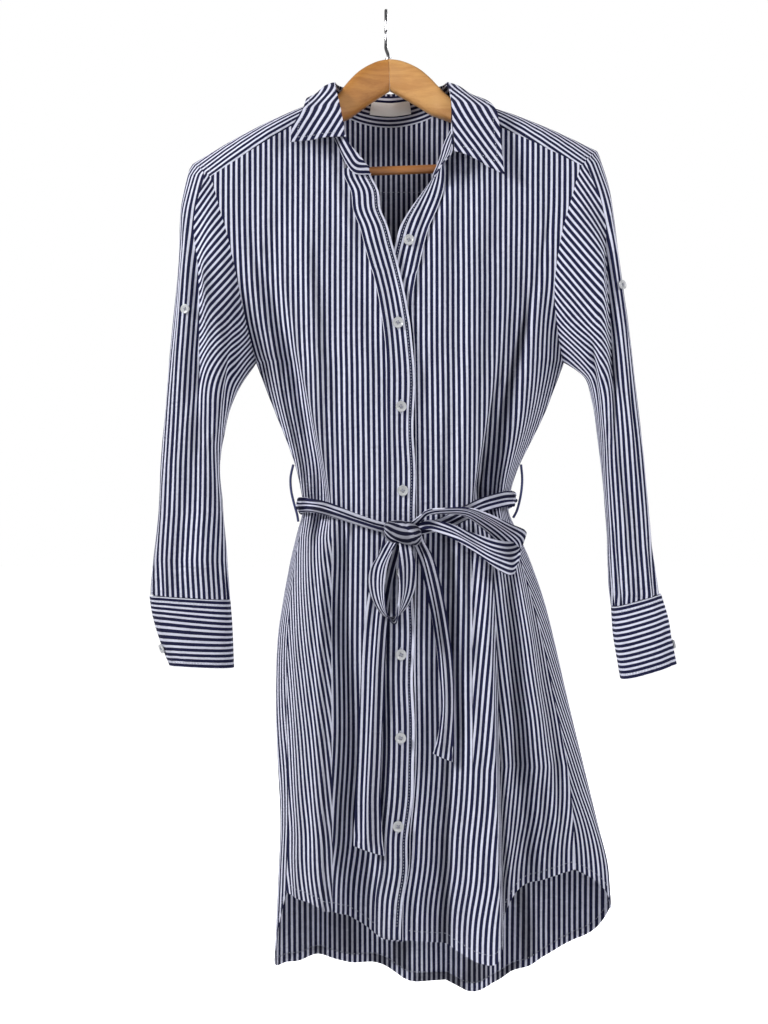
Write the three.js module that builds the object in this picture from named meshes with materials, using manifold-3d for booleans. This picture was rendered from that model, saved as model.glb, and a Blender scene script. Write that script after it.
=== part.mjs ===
// A striped cotton shirt dress hanging on a contoured wooden hanger.
// Millimetres, +Z up. The viewer's right is +X and the front of the dress faces -Y.
// The origin is the inside top of the hanger's hook, where a rail carries it.
import * as THREE from "three";
import { mergeVertices } from "three/addons/utils/BufferGeometryUtils.js";
import Module from "manifold-3d";

const wasm = await Module();
wasm.setup();

// Driving sizes
const WALL = 1.5; // cloth wall
const SEAM_GAP = 0.3; // clear space between two pieces
const SEAM_PULL = 0.55; // how far each piece stops short of its seam line, along the cloth
const SIDE_PULL = 1.3; // the same at the side seams, where the cloth turns sharply
const BAND_WALL = 1.2;
const PLACKET_WIDTH = 29;
const PLACKET_RAISE = 1.4; // the button band lies this far in front of its panel
const UNDERLAP = 3; // the lower button band lies this far behind the upper one
const BUTTON_RADIUS = 5.75;
const BUTTON_THICK = 2.4;
const HOOK_WIRE = 3.6;
const HOOK_LOOP = 19; // inside radius of the hook's bend
const BAR_RADIUS = 4.6;
const WOOD_TOP = -50; // the hanger's highest wood
const HANGER_TILT = THREE.MathUtils.degToRad(2.1); // the viewer's right shoulder sits higher
const HANGER_X = 3;
const UNDERARM_Z = -383;
const LABEL_WALL = 0.8;
const LABEL_AWAY = 1.1; // room for the stand's own facets
const LABEL_AT = 9 / 17; // the middle of the back, along the stand
const LABEL_SPAN = 0.082; // the blank neck label's length as a share of the stand's
const LABEL_HIGH = 0.78;
const LABEL_LOW = 0.36;
const STAND_SHORT = 2.8; // the collar stand ends this far below the fold

const CLOTH = 0xdfe2ee;
const NAVY = 0x4a5080;
const WOOD = 0xc79a5e;

// Every table is read from its first row to its last, and z falls from row to row.
// Outline of the body: side seams and silhouettes, and how far the front stands out.
const BODY = [
  { z: -383, leftSeam: -142, leftEdge: -143, rightSeam: 195, rightEdge: 196, seamY: 0, frontY: -46, backY: 16 },
  { z: -412, leftSeam: -131, leftEdge: -132, rightSeam: 184, rightEdge: 185, seamY: -3, frontY: -46, backY: 18 },
  { z: -440, leftSeam: -120, leftEdge: -121, rightSeam: 173, rightEdge: 174, seamY: -5, frontY: -45, backY: 20 },
  { z: -467, leftSeam: -109, leftEdge: -110, rightSeam: 160, rightEdge: 161, seamY: -6, frontY: -44, backY: 21 },
  { z: -495, leftSeam: -99, leftEdge: -100, rightSeam: 146, rightEdge: 147, seamY: -7, frontY: -43, backY: 21 },
  { z: -520, leftSeam: -93, leftEdge: -94, rightSeam: 137, rightEdge: 138, seamY: -7, frontY: -42, backY: 20 },
  { z: -545, leftSeam: -89, leftEdge: -91, rightSeam: 132, rightEdge: 134, seamY: -8, frontY: -42, backY: 20 },
  { z: -570, leftSeam: -93, leftEdge: -97, rightSeam: 139, rightEdge: 144, seamY: -12, frontY: -42, backY: 21 },
  { z: -600, leftSeam: -98, leftEdge: -104, rightSeam: 146, rightEdge: 157, seamY: -17, frontY: -43, backY: 24 },
  { z: -643, leftSeam: -103, leftEdge: -112, rightSeam: 158, rightEdge: 172, seamY: -22, frontY: -44, backY: 28 },
  { z: -686, leftSeam: -106, leftEdge: -118, rightSeam: 169, rightEdge: 183, seamY: -24, frontY: -44, backY: 32 },
  { z: -752, leftSeam: -107, leftEdge: -120, rightSeam: 182, rightEdge: 198, seamY: -26, frontY: -43, backY: 36 },
  { z: -818, leftSeam: -106, leftEdge: -118, rightSeam: 195, rightEdge: 214, seamY: -27, frontY: -42, backY: 40 },
  { z: -884, leftSeam: -105, leftEdge: -115, rightSeam: 202, rightEdge: 230, seamY: -27, frontY: -41, backY: 43 },
  { z: -940, leftSeam: -107, leftEdge: -117, rightSeam: 203, rightEdge: 243, seamY: -26, frontY: -40, backY: 45 },
  { z: -1090, leftSeam: -108, leftEdge: -124, rightSeam: 203, rightEdge: 248, seamY: -25, frontY: -40, backY: 46 },
];

// Free edges of the two button bands. Above the second button the neck falls open.
const OPENING = [
  { z: -170, upper: -20, lower: 58 },
  { z: -188, upper: -16, lower: 51 },
  { z: -205, upper: -8, lower: 39 },
  { z: -225, upper: -6, lower: 25 },
  { z: -243, upper: 1, lower: 15 },
  { z: -262, upper: 6, lower: 10 },
  { z: -290, upper: 14, lower: 4 },
  { z: -324, upper: 22, lower: -1 },
  { z: -374, upper: 28.6, lower: 1.6 },
  { z: -427, upper: 29.6, lower: 2.6 },
  { z: -545, upper: 30.7, lower: 3.7 },
  { z: -700, upper: 29, lower: 2 },
  { z: -800, upper: 30.5, lower: 3.5 },
  { z: -845, upper: 28.6, lower: 1.6 },
  { z: -890, upper: 25, lower: -2 },
  { z: -925, upper: 24, lower: -3 },
  { z: -965, upper: 18, lower: -9 },
  { z: -1100, upper: 20, lower: -7 },
];

// Seams where each front panel ends and its button band begins, up to the neckline.
const BAND_SEAM = [
  { z: -117, upper: -71, lower: 81 },
  { z: -132, upper: -62.3, lower: 73 },
  { z: -156, upper: -51, lower: 64 },
  { z: -174, upper: -45.5, lower: 62.5 },
  { z: -188, upper: -45, lower: 63 },
  { z: -205, upper: -37.5, lower: 61 },
  { z: -225, upper: -35.5, lower: 54 },
  { z: -243, upper: -28.5, lower: 46 },
  { z: -262, upper: -23.5, lower: 40.5 },
  { z: -290, upper: -15.5, lower: 34 },
];

// Hem heights across each piece, from the side seam (0) to the button band (1).
const HEM_UPPER = [
  { at: 0, z: -958 },
  { at: 0.3, z: -962 },
  { at: 0.45, z: -970 },
  { at: 0.6, z: -979 },
  { at: 0.8, z: -990 },
  { at: 1, z: -999 },
];
const HEM_LOWER = [
  { at: 0, z: -933 },
  { at: 0.2, z: -944 },
  { at: 0.34, z: -958 },
  { at: 0.43, z: -986 },
  { at: 0.5, z: -1014 },
  { at: 0.6, z: -1019 },
  { at: 0.75, z: -1013 },
  { at: 0.9, z: -1006 },
  { at: 1, z: -1002 },
];
const HEM_BACK = [
  { at: 0, z: -958 },
  { at: 0.06, z: -1004 },
  { at: 0.115, z: -1044 },
  { at: 0.22, z: -1052 },
  { at: 0.327, z: -1056 },
  { at: 0.394, z: -1062 },
  { at: 0.43, z: -1073 },
  { at: 0.464, z: -1089 },
  { at: 0.5, z: -1086 },
  { at: 0.52, z: -1074 },
  { at: 0.568, z: -1052 },
  { at: 0.62, z: -1034 },
  { at: 0.69, z: -1018 },
  { at: 0.756, z: -997 },
  { at: 0.82, z: -977 },
  { at: 0.9, z: -954 },
  { at: 1, z: -933 },
];

// Front folds. Depth is towards the viewer, or away where it is negative. Lean tips a fold sideways, and skew
// makes its left side broader than its right.
const FRONT_FOLDS = [
  {
    name: "leftArmDrag", topZ: -300, topX: -122, footZ: -535, footX: -73,
    topWide: 18, footWide: 15, top: -6, foot: -18, lean: 0.2, skew: 0, fade: 70,
  },
  {
    name: "leftBustRoll", topZ: -270, topX: -78, footZ: -560, footX: -60,
    topWide: 26, footWide: 17, top: 4, foot: 11, lean: 0.1, skew: 0, fade: 90,
  },
  {
    name: "rightBustRoll", topZ: -260, topX: 92, footZ: -560, footX: 79,
    topWide: 24, footWide: 18, top: 4, foot: 10, lean: -0.1, skew: 0, fade: 80,
  },
  {
    name: "rightArmDrag", topZ: -320, topX: 143, footZ: -520, footX: 106,
    topWide: 20, footWide: 14, top: -5, foot: -20, lean: -0.2, skew: 0, fade: 70,
  },
  {
    name: "rightSideRoll", topZ: -420, topX: 155, footZ: -550, footX: 122,
    topWide: 16, footWide: 12, top: 4, foot: 8, lean: 0, skew: 0, fade: 60,
  },
  {
    name: "leftCone", topZ: -590, topX: -70, footZ: -1010, footX: -72,
    topWide: 20, footWide: 30, top: 9, foot: 28, lean: 0.2, skew: 0.5, fade: 60,
  },
  {
    name: "leftHollow", topZ: -610, topX: -42, footZ: -1010, footX: -32,
    topWide: 18, footWide: 28, top: -6, foot: -20, lean: 0, skew: -0.3, fade: 70,
  },
  {
    name: "bandRoll", topZ: -720, topX: 16, footZ: -1010, footX: 10,
    topWide: 30, footWide: 30, top: 2, foot: 12, lean: -0.2, skew: 0, fade: 60,
  },
  {
    name: "frontPleat", topZ: -600, topX: 108, footZ: -1020, footX: 114,
    topWide: 20, footWide: 32, top: 9, foot: 42, lean: 0.1, skew: 0.5, fade: 60,
  },
  {
    name: "pleatShade", topZ: -640, topX: 56, footZ: -1020, footX: 58,
    topWide: 20, footWide: 24, top: -4, foot: -8, lean: 0, skew: 0, fade: 60,
  },
  {
    name: "hipRoll", topZ: -590, topX: 144, footZ: -810, footX: 164,
    topWide: 13, footWide: 22, top: 6, foot: 9, lean: 0.2, skew: 0.2, fade: 50,
  },
  {
    name: "hipHollow", topZ: -600, topX: 130, footZ: -800, footX: 142,
    topWide: 12, footWide: 16, top: -6, foot: -8, lean: 0, skew: -0.2, fade: 60,
  },
  {
    name: "lowerHollow", topZ: -850, topX: 148, footZ: -1020, footX: 152,
    topWide: 34, footWide: 44, top: -8, foot: -16, lean: 0, skew: 0, fade: 80,
  },
];

// Back folds. Depth is away from the viewer, towards +Y.
const BACK_FOLDS = [
  {
    name: "bladeLeft", topZ: -300, topX: -80, footZ: -540, footX: -48,
    topWide: 34, footWide: 16, top: 5, foot: 10, lean: 0, skew: 0, fade: 80,
  },
  {
    name: "bladeRight", topZ: -300, topX: 120, footZ: -540, footX: 88,
    topWide: 34, footWide: 16, top: 5, foot: 10, lean: 0, skew: 0, fade: 80,
  },
  {
    name: "spine", topZ: -400, topX: 22, footZ: -545, footX: 20,
    topWide: 30, footWide: 18, top: -3, foot: -8, lean: 0, skew: 0, fade: 80,
  },
  {
    name: "skirtOne", topZ: -590, topX: -56, footZ: -1100, footX: -74,
    topWide: 18, footWide: 32, top: 8, foot: 22, lean: -0.2, skew: 0, fade: 50,
  },
  {
    name: "skirtTwo", topZ: -590, topX: -10, footZ: -1100, footX: -8,
    topWide: 17, footWide: 34, top: 9, foot: 16, lean: 0.1, skew: 0, fade: 50,
  },
  {
    name: "skirtThree", topZ: -600, topX: 38, footZ: -1100, footX: 62,
    topWide: 18, footWide: 34, top: 9, foot: 24, lean: 0.1, skew: 0, fade: 50,
  },
  {
    name: "skirtFour", topZ: -590, topX: 86, footZ: -1100, footX: 138,
    topWide: 18, footWide: 34, top: 8, foot: 18, lean: 0.2, skew: 0, fade: 50,
  },
  {
    name: "skirtHollow", topZ: -640, topX: 62, footZ: -1100, footX: 100,
    topWide: 16, footWide: 26, top: -3, foot: -9, lean: 0, skew: 0, fade: 60,
  },
];

// Points round each armhole: shoulder tip, down the front to the underarm, and up the back.
const ARMHOLE_LEFT = [
  { x: -209, y: -22, z: -172 },
  { x: -188, y: -38, z: -190 },
  { x: -178, y: -41, z: -222 },
  { x: -167, y: -38, z: -262 },
  { x: -158, y: -31, z: -308 },
  { x: -150, y: -17, z: -350 },
  { x: -142, y: 0, z: -383 },
  { x: -148, y: 9, z: -350 },
  { x: -158, y: 13, z: -308 },
  { x: -172, y: 12, z: -262 },
  { x: -188, y: 6, z: -222 },
  { x: -202, y: -6, z: -186 },
];
const ARMHOLE_RIGHT = [
  { x: 228, y: -22, z: -158 },
  { x: 209, y: -38, z: -178 },
  { x: 198, y: -41, z: -212 },
  { x: 187, y: -38, z: -254 },
  { x: 181, y: -31, z: -304 },
  { x: 186, y: -17, z: -348 },
  { x: 195, y: 0, z: -383 },
  { x: 196, y: 9, z: -348 },
  { x: 196, y: 13, z: -302 },
  { x: 200, y: 12, z: -254 },
  { x: 210, y: 6, z: -210 },
  { x: 222, y: -6, z: -172 },
];
const FRONT_CORNER = 1; // index of the armhole point where the yoke's front seam ends
const UNDERARM = 6;
const BACK_CORNER = 10; // index where the yoke's back seam ends

// The neckline seam, the collar's fold and the collar's outer edge, from the upper band round the back to the
// lower band.
const NECK = [
  { x: -16, y: -42, z: -188, foldX: -18, foldY: -44, foldZ: -180 },
  { x: -33, y: -41, z: -187, foldX: -25, foldY: -46, foldZ: -170 },
  { x: -43, y: -38.5, z: -174, foldX: -32, foldY: -47, foldZ: -162 },
  { x: -51, y: -35.5, z: -156, foldX: -41, foldY: -47, foldZ: -151, outX: -101, outY: -52, outZ: -157 },
  { x: -62, y: -31, z: -133, foldX: -44, foldY: -44, foldZ: -134, outX: -99, outY: -49, outZ: -140 },
  { x: -71, y: -26, z: -115, foldX: -48, foldY: -34, foldZ: -112, outX: -89, outY: -39, outZ: -118 },
  { x: -72, y: -13, z: -99, foldX: -54, foldY: -12, foldZ: -82, outX: -84, outY: -14, outZ: -98 },
  { x: -63, y: 9, z: -100, foldX: -49, foldY: 11, foldZ: -77, outX: -72, outY: 22, outZ: -110 },
  { x: -30, y: 18, z: -114, foldX: -24, foldY: 24, foldZ: -78, outX: -42, outY: 34, outZ: -123 },
  { x: 5, y: 22, z: -118, foldX: 5, foldY: 28, foldZ: -79, outX: 5, outY: 38, outZ: -128 },
  { x: 40, y: 18, z: -113, foldX: 34, foldY: 24, foldZ: -77, outX: 52, outY: 34, outZ: -122 },
  { x: 73, y: 9, z: -99, foldX: 59, foldY: 11, foldZ: -77, outX: 83, outY: 22, outZ: -109 },
  { x: 82, y: -13, z: -97, foldX: 66, foldY: -12, foldZ: -82, outX: 98, outY: -14, outZ: -98 },
  { x: 81, y: -26, z: -114, foldX: 68, foldY: -36, foldZ: -110, outX: 117, outY: -39, outZ: -118 },
  { x: 73, y: -31, z: -132, foldX: 69, foldY: -47, foldZ: -138, outX: 121, outY: -49, outZ: -153 },
  { x: 63, y: -35.5, z: -152, foldX: 70, foldY: -53, foldZ: -168, outX: 125, outY: -52, outZ: -191 },
  { x: 57, y: -38.5, z: -172, foldX: 61, foldY: -52, foldZ: -179 },
  { x: 49, y: -42, z: -192, foldX: 51, foldY: -49, foldZ: -192 },
];
const LEAF_SPAN = [3, 15]; // first and last neck row of the collar leaf
const YOKE_SPAN = [5, 13]; // and of the yoke

// Sleeves: outer and inner edge of each ring, and how far it reaches to the front and the back.
const SLEEVE_LEFT = [
  { outX: -219, outZ: -185, inX: -149, inZ: -394, front: 32, back: 18, y: -12 },
  { outX: -223, outZ: -221, inX: -158, inZ: -408, front: 29, back: 20, y: -10 },
  { outX: -225, outZ: -265, inX: -166, inZ: -424, front: 27, back: 20, y: -9 },
  { outX: -229, outZ: -315, inX: -174, inZ: -447, front: 25, back: 20, y: -8 },
  { outX: -235, outZ: -375, inX: -180, inZ: -480, front: 24, back: 20, y: -8 },
  { outX: -240, outZ: -435, inX: -182, inZ: -505, front: 23, back: 19, y: -8 },
  { outX: -245, outZ: -495, inX: -179, inZ: -538, front: 21, back: 18, y: -9 },
  { outX: -248, outZ: -550, inX: -175, inZ: -580, front: 20, back: 17, y: -10 },
  { outX: -253, outZ: -600, inX: -173, inZ: -614, front: 18, back: 16, y: -11 },
  { outX: -254, outZ: -638, inX: -171, inZ: -643, front: 14, back: 12, y: -12 },
];
const SLEEVE_RIGHT = [
  { outX: 238, outZ: -172, inX: 208, inZ: -392, front: 32, back: 18, y: -12 },
  { outX: 244, outZ: -205, inX: 218, inZ: -402, front: 29, back: 22, y: -10 },
  { outX: 250, outZ: -249, inX: 224, inZ: -417, front: 28, back: 24, y: -9 },
  { outX: 257, outZ: -299, inX: 229, inZ: -441, front: 27, back: 24, y: -8 },
  { outX: 264, outZ: -349, inX: 233, inZ: -472, front: 27, back: 24, y: -8 },
  { outX: 271, outZ: -408, inX: 237, inZ: -504, front: 26, back: 24, y: -8 },
  { outX: 278, outZ: -467, inX: 240, inZ: -540, front: 25, back: 23, y: -9 },
  { outX: 284, outZ: -532, inX: 242, inZ: -575, front: 24, back: 22, y: -10 },
  { outX: 289, outZ: -586, inX: 243, inZ: -615, front: 23, back: 21, y: -11 },
  { outX: 295, outZ: -636, inX: 247, inZ: -650, front: 20, back: 18, y: -12 },
];
// Round each sleeve: angle from its outer edge over its front, in degrees, and the length as a share.
const SLEEVE_FOLDS = [
  { topAt: 0.04, topTurn: 60, footAt: 0.6, footTurn: 108, wide: 24, depth: -8 },
  { topAt: 0.08, topTurn: 98, footAt: 0.5, footTurn: 142, wide: 26, depth: 4 },
  { topAt: 0.45, topTurn: 118, footAt: 0.95, footTurn: 86, wide: 26, depth: -4 },
  { topAt: 0.15, topTurn: 250, footAt: 0.7, footTurn: 268, wide: 34, depth: -5 },
  { topAt: 0.5, topTurn: 300, footAt: 0.96, footTurn: 290, wide: 28, depth: 3 },
];
const CUFF_LEFT = [
  { outX: -254, outZ: -638.8, inX: -171, inZ: -643.8, front: 14, back: 12, y: -12 },
  { outX: -250, outZ: -662, inX: -169, inZ: -670, front: 16, back: 14, y: -12 },
  { outX: -241, outZ: -691, inX: -168, inZ: -694, front: 17, back: 14, y: -12 },
  { outX: -232, outZ: -714, inX: -167, inZ: -717, front: 16, back: 15, y: -12 },
];
const CUFF_RIGHT = [
  { outX: 295.5, outZ: -636.8, inX: 247, inZ: -650.8, front: 20, back: 18, y: -12 },
  { outX: 303, outZ: -663, inX: 249, inZ: -680, front: 22, back: 20, y: -12 },
  { outX: 307, outZ: -688, inX: 253, inZ: -705, front: 22, back: 20, y: -12 },
  { outX: 312, outZ: -712, inX: 257, inZ: -729, front: 21, back: 20, y: -12 },
];
const CUFF_SLIT_LEFT = 36; // where each cuff's two ends meet, in degrees round the cuff
const CUFF_SLIT_RIGHT = 18;
const CUFF_OVERLAP = 36;

// Belt stretches. x and z of each section, how far it stands off the cloth, and its half width as a vector.
const BELT_LEFT = [
  { x: -95, off: -1, z: -541, wideX: 0, wideY: 0, wideZ: 9 },
  { x: -93, off: 3, z: -541, wideX: 0, wideY: 0, wideZ: 8.5 },
  { x: -84, off: 3.8, z: -541, wideX: 0, wideY: 0, wideZ: 7.5 },
  { x: -70, off: 4, z: -543, wideX: 1, wideY: 0, wideZ: 7 },
  { x: -54, off: 4, z: -548, wideX: 1.5, wideY: 0, wideZ: 6.5 },
  { x: -34, off: 4, z: -555, wideX: 2, wideY: -1, wideZ: 5 },
  { x: -12, off: 4.2, z: -562, wideX: 2, wideY: -1, wideZ: 4.5 },
  { x: 6, off: 5, z: -566, wideX: 2, wideY: -1, wideZ: 4.5 },
];
const BELT_RIGHT = [
  { x: 34, off: 3.4, z: -567, wideX: -1, wideY: 0, wideZ: 4.5 },
  { x: 60, off: 1.4, z: -561, wideX: -2, wideY: 0, wideZ: 6 },
  { x: 84, off: 1.2, z: -549, wideX: -2, wideY: 0, wideZ: 6.5 },
  { x: 104, off: 1, z: -540, wideX: -2, wideY: 0, wideZ: 7 },
  { x: 126, off: 1, z: -534, wideX: -1.5, wideY: 0, wideZ: 7.5 },
  { x: 136, off: 0.6, z: -533, wideX: -1, wideY: 0, wideZ: 8.5 },
  { x: 138.5, off: -1, z: -533, wideX: 0, wideY: 0, wideZ: 9 },
];
// The stretch round the back, by its share of the way from side seam to side seam.
const BELT_BACK = [
  { at: 0, z: -541, half: 9 },
  { at: 0.12, z: -541, half: 9.5 },
  { at: 0.3, z: -545, half: 13 },
  { at: 0.5, z: -549, half: 15 },
  { at: 0.7, z: -543, half: 13 },
  { at: 0.88, z: -534, half: 9.5 },
  { at: 1, z: -533, half: 9 },
];
const LOOP_RIGHT = [
  { x: 26, off: 11.5, z: -562, wideX: 0, wideY: -4, wideZ: 3 },
  { x: 34, off: 13, z: -556, wideX: 0, wideY: -5, wideZ: 4 },
  { x: 44, off: 14, z: -548, wideX: 0, wideY: -9, wideZ: 3 },
  { x: 62, off: 20, z: -546, wideX: 0, wideY: -13, wideZ: 3 },
  { x: 84, off: 24, z: -547, wideX: 1, wideY: -16, wideZ: 4 },
  { x: 104, off: 26, z: -556, wideX: 4, wideY: -17, wideZ: 6 },
  { x: 124, off: 26, z: -569, wideX: 6, wideY: -16, wideZ: 9 },
  { x: 138, off: 24, z: -581, wideX: 8, wideY: -12, wideZ: 14 },
  { x: 141, off: 20, z: -592, wideX: 3, wideY: -4, wideZ: 17 },
  { x: 131, off: 16, z: -597, wideX: -2, wideY: -2, wideZ: 18 },
  { x: 113, off: 15, z: -592, wideX: -6, wideY: 2, wideZ: 17 },
  { x: 92, off: 14, z: -581, wideX: -6, wideY: 3, wideZ: 13 },
  { x: 72, off: 13, z: -570, wideX: -4, wideY: 3, wideZ: 9 },
  { x: 52, off: 12, z: -563, wideX: -2, wideY: 2, wideZ: 6 },
  { x: 42, off: 11, z: -562, wideX: -1, wideY: 1, wideZ: 4 },
  { x: 28, off: 12, z: -566, wideX: 0, wideY: 0, wideZ: 3.5 },
];
const LOOP_LEFT = [
  { x: 10, off: 12, z: -573, wideX: 6, wideY: -2, wideZ: 1 },
  { x: 0, off: 16, z: -590, wideX: 8, wideY: -4, wideZ: 4 },
  { x: -8, off: 19, z: -608, wideX: 9, wideY: -8, wideZ: 3 },
  { x: -9, off: 21, z: -630, wideX: 8, wideY: -11, wideZ: 0 },
  { x: -4, off: 23, z: -650, wideX: 6, wideY: -13, wideZ: -3 },
  { x: 6, off: 24, z: -660, wideX: 3, wideY: -14, wideZ: -2 },
  { x: 15, off: 24, z: -650, wideX: -4, wideY: -13, wideZ: 0 },
  { x: 21, off: 22, z: -630, wideX: -8, wideY: -9, wideZ: 0 },
  { x: 22, off: 19, z: -606, wideX: -9, wideY: -5, wideZ: 0 },
  { x: 20, off: 15, z: -586, wideX: -6, wideY: -2, wideZ: 0 },
  { x: 18, off: 14, z: -578, wideX: -4, wideY: -1, wideZ: 0 },
];
const TAIL_LEFT = [
  { x: 7, off: 4.6, z: -572, wideX: 8, wideY: 0, wideZ: 0 },
  { x: 4, off: 4.4, z: -588, wideX: 9, wideY: 0, wideZ: 0 },
  { x: -3, off: 4, z: -615, wideX: 10, wideY: 0, wideZ: 0 },
  { x: -9, off: 4, z: -650, wideX: 11, wideY: -1, wideZ: 0 },
  { x: -13, off: 4, z: -700, wideX: 12, wideY: -2, wideZ: 0 },
  { x: -15, off: 4.5, z: -750, wideX: 12, wideY: -2, wideZ: 0 },
  { x: -17, off: 5, z: -800, wideX: 12, wideY: -2, wideZ: 0 },
  { x: -19, off: 6, z: -850, wideX: 13, wideY: -2, wideZ: 0 },
  { x: -19, off: 7, z: -885, wideX: 15, wideY: -1, wideZ: -3 },
  { x: -18, off: 8, z: -906, wideX: 16, wideY: -1, wideZ: -5 },
];
const TAIL_RIGHT = [
  { x: 30, off: 7, z: -570, wideX: 5, wideY: -2, wideZ: 2 },
  { x: 36, off: 6.5, z: -583, wideX: 5, wideY: -2, wideZ: 2 },
  { x: 43, off: 6, z: -600, wideX: 7, wideY: -2, wideZ: 3 },
  { x: 51, off: 5, z: -632, wideX: 8, wideY: -2, wideZ: 2 },
  { x: 58, off: 5, z: -670, wideX: 8, wideY: -2, wideZ: 2 },
  { x: 63, off: 5, z: -710, wideX: 8, wideY: -2, wideZ: 1 },
  { x: 65, off: 6, z: -750, wideX: 7, wideY: -3, wideZ: 1 },
  { x: 63, off: 8, z: -785, wideX: 8, wideY: -3, wideZ: -2 },
  { x: 60, off: 9, z: -808, wideX: 10, wideY: -2, wideZ: -4 },
];

// Thread loops at the side seams that hold the belt up.
const KEEPER_RADIUS = 1;
const KEEPERS = {
  left: [
    [-101.6, -6, -496],
    [-104.2, -9, -510],
    [-103.5, -11, -524],
    [-100.3, -13, -538],
    [-97, -12.2, -550],
    [-95.8, -9.5, -558],
  ],
  right: [
    [147.7, -7, -496],
    [148.6, -10, -510],
    [147.6, -14, -522],
    [145.6, -15, -534],
    [142.6, -13, -546],
    [138.9, -10, -554],
  ],
};
const KNOT = { x: 17.5, y: -58, z: -570, halfWide: 18, halfHigh: 10, halfDeep: 8, slant: 3 };

// The hanger's arm from the middle outwards, before its tilt: top and lower edge, sweep and thickness.
const ARM = [
  { x: 0, top: 0, low: -34.7, y: 0, thick: 14 },
  { x: 15, top: -3.2, low: -43.5, y: 0, thick: 15 },
  { x: 32, top: -12.5, low: -55, y: -2, thick: 17 },
  { x: 44.5, top: -24, low: -63.5, y: -3, thick: 18.5 },
  { x: 55, top: -37, low: -68.5, y: -5, thick: 20 },
  { x: 64, top: -46.5, low: -72.5, y: -6.5, thick: 20.5 },
  { x: 80, top: -60, low: -80, y: -9, thick: 21 },
  { x: 100, top: -72, low: -90, y: -12, thick: 21 },
  { x: 130, top: -83, low: -103, y: -16, thick: 21 },
  { x: 160, top: -93.5, low: -122, y: -19, thick: 21 },
  { x: 188, top: -106, low: -136, y: -21, thick: 20 },
  { x: 202, top: -114, low: -134, y: -22, thick: 14 },
];
const WAIST_X = 21;
const BAR_DROP = 128; // the trouser bar's centre below the wood's top
const BAR_HALF = 180;

const CUFF_BUTTON = { across: 0.05, down: 0.72 };
// The sleeve tabs' buttons: degrees round the sleeve, and share of its length.
const TABS = { left: { turn: 62, down: 0.34 }, right: { turn: 46, down: 0.345 } };

// Front buttons: x and z of each one's centre, and which band carries it.
const FRONT_BUTTONS = [
  { x: 24, z: -258, band: "lower" },
  { x: 13, z: -347, band: "upper" },
  { x: 15.8, z: -436, band: "upper" },
  { x: 17.5, z: -525, band: "upper" },
  { x: 16.5, z: -612, band: "upper" },
  { x: 15.5, z: -699, band: "upper" },
  { x: 16, z: -787, band: "upper" },
  { x: 14, z: -880, band: "upper" },
];

const lerp = THREE.MathUtils.lerp;
const smooth = THREE.MathUtils.smoothstep;
const vector = (x, y, z) => new THREE.Vector3(x, y, z);

// A smooth curve through values at rising or falling knots.
function through(knots, values, at) {
  const last = knots.length - 1;
  const falling = knots[last] < knots[0];
  const before = (i) => (falling ? at < knots[i] : at > knots[i]);
  let i = 0;
  while (i < last - 1 && before(i + 1)) i += 1;
  const slope = (k) => {
    const a = Math.max(0, k - 1);
    const b = Math.min(last, k + 1);
    return (values[b] - values[a]) / (knots[b] - knots[a]);
  };
  const h = knots[i + 1] - knots[i];
  const t = THREE.MathUtils.clamp((at - knots[i]) / h, 0, 1);
  const t2 = t * t;
  const t3 = t2 * t;
  return (
    values[i] * (2 * t3 - 3 * t2 + 1) +
    slope(i) * h * (t3 - 2 * t2 + t) +
    values[i + 1] * (3 * t2 - 2 * t3) +
    slope(i + 1) * h * (t3 - t2)
  );
}

const column = (table, key, at, knot = "z") =>
  through(
    table.map((row) => row[knot]),
    table.map((row) => row[key]),
    at,
  );

// A point on the open curve through a table's rows, counted by row number.
function alongTable(table, keys, at) {
  const numbers = table.map((row, i) => i);
  return vector(...keys.map((key) => through(numbers, table.map((row) => row[key]), at)));
}

// A point on the closed armhole curve, counted by point number.
function onArmhole(armhole, at) {
  const n = armhole.length;
  const ring = [armhole[n - 1], ...armhole, armhole[0], armhole[1]];
  return alongTable(ring, ["x", "y", "z"], (((at % n) + n) % n) + 1);
}

const bump = (t) => (Math.abs(t) < 1 ? Math.cos((Math.PI / 2) * t) ** 2 : 0);

// How far the folds push the cloth out, and sideways, at one place.
function foldsAt(folds, x, z) {
  let push = 0;
  let slide = 0;
  for (const f of folds) {
    const along = (z - f.topZ) / (f.footZ - f.topZ);
    const ends =
      smooth(f.topZ + f.fade - z, 0, f.fade) * smooth(z - (f.footZ - f.fade), 0, f.fade);
    if (ends <= 0) continue;
    const t = THREE.MathUtils.clamp(along, 0, 1);
    const wide = lerp(f.topWide, f.footWide, t);
    const beside = x - lerp(f.topX, f.footX, t);
    const reach = wide * (1 - Math.sign(beside) * f.skew);
    const height = lerp(f.top, f.foot, t) * bump(beside / reach) * ends;
    push += height;
    slide += f.lean * Math.abs(height);
  }
  return { push, slide };
}

// Draws the named edges of a grid in along the cloth, so that two sewn pieces stop short of each other.
function pulled(points, edges) {
  const rows = points.length - 1;
  const cols = points[0].length - 1;
  const toward = (p, q, by) => p.add(q.clone().sub(p).setLength(by));
  for (let r = 0; r <= rows; r += 1) {
    if (edges.left) toward(points[r][0], points[r][1], edges.left);
    if (edges.right) toward(points[r][cols], points[r][cols - 1], edges.right);
  }
  for (let c = 0; c <= cols; c += 1) {
    if (edges.top) toward(points[0][c], points[1][c], edges.top);
    if (edges.foot) toward(points[rows][c], points[rows - 1][c], edges.foot);
  }
  return points;
}

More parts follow.
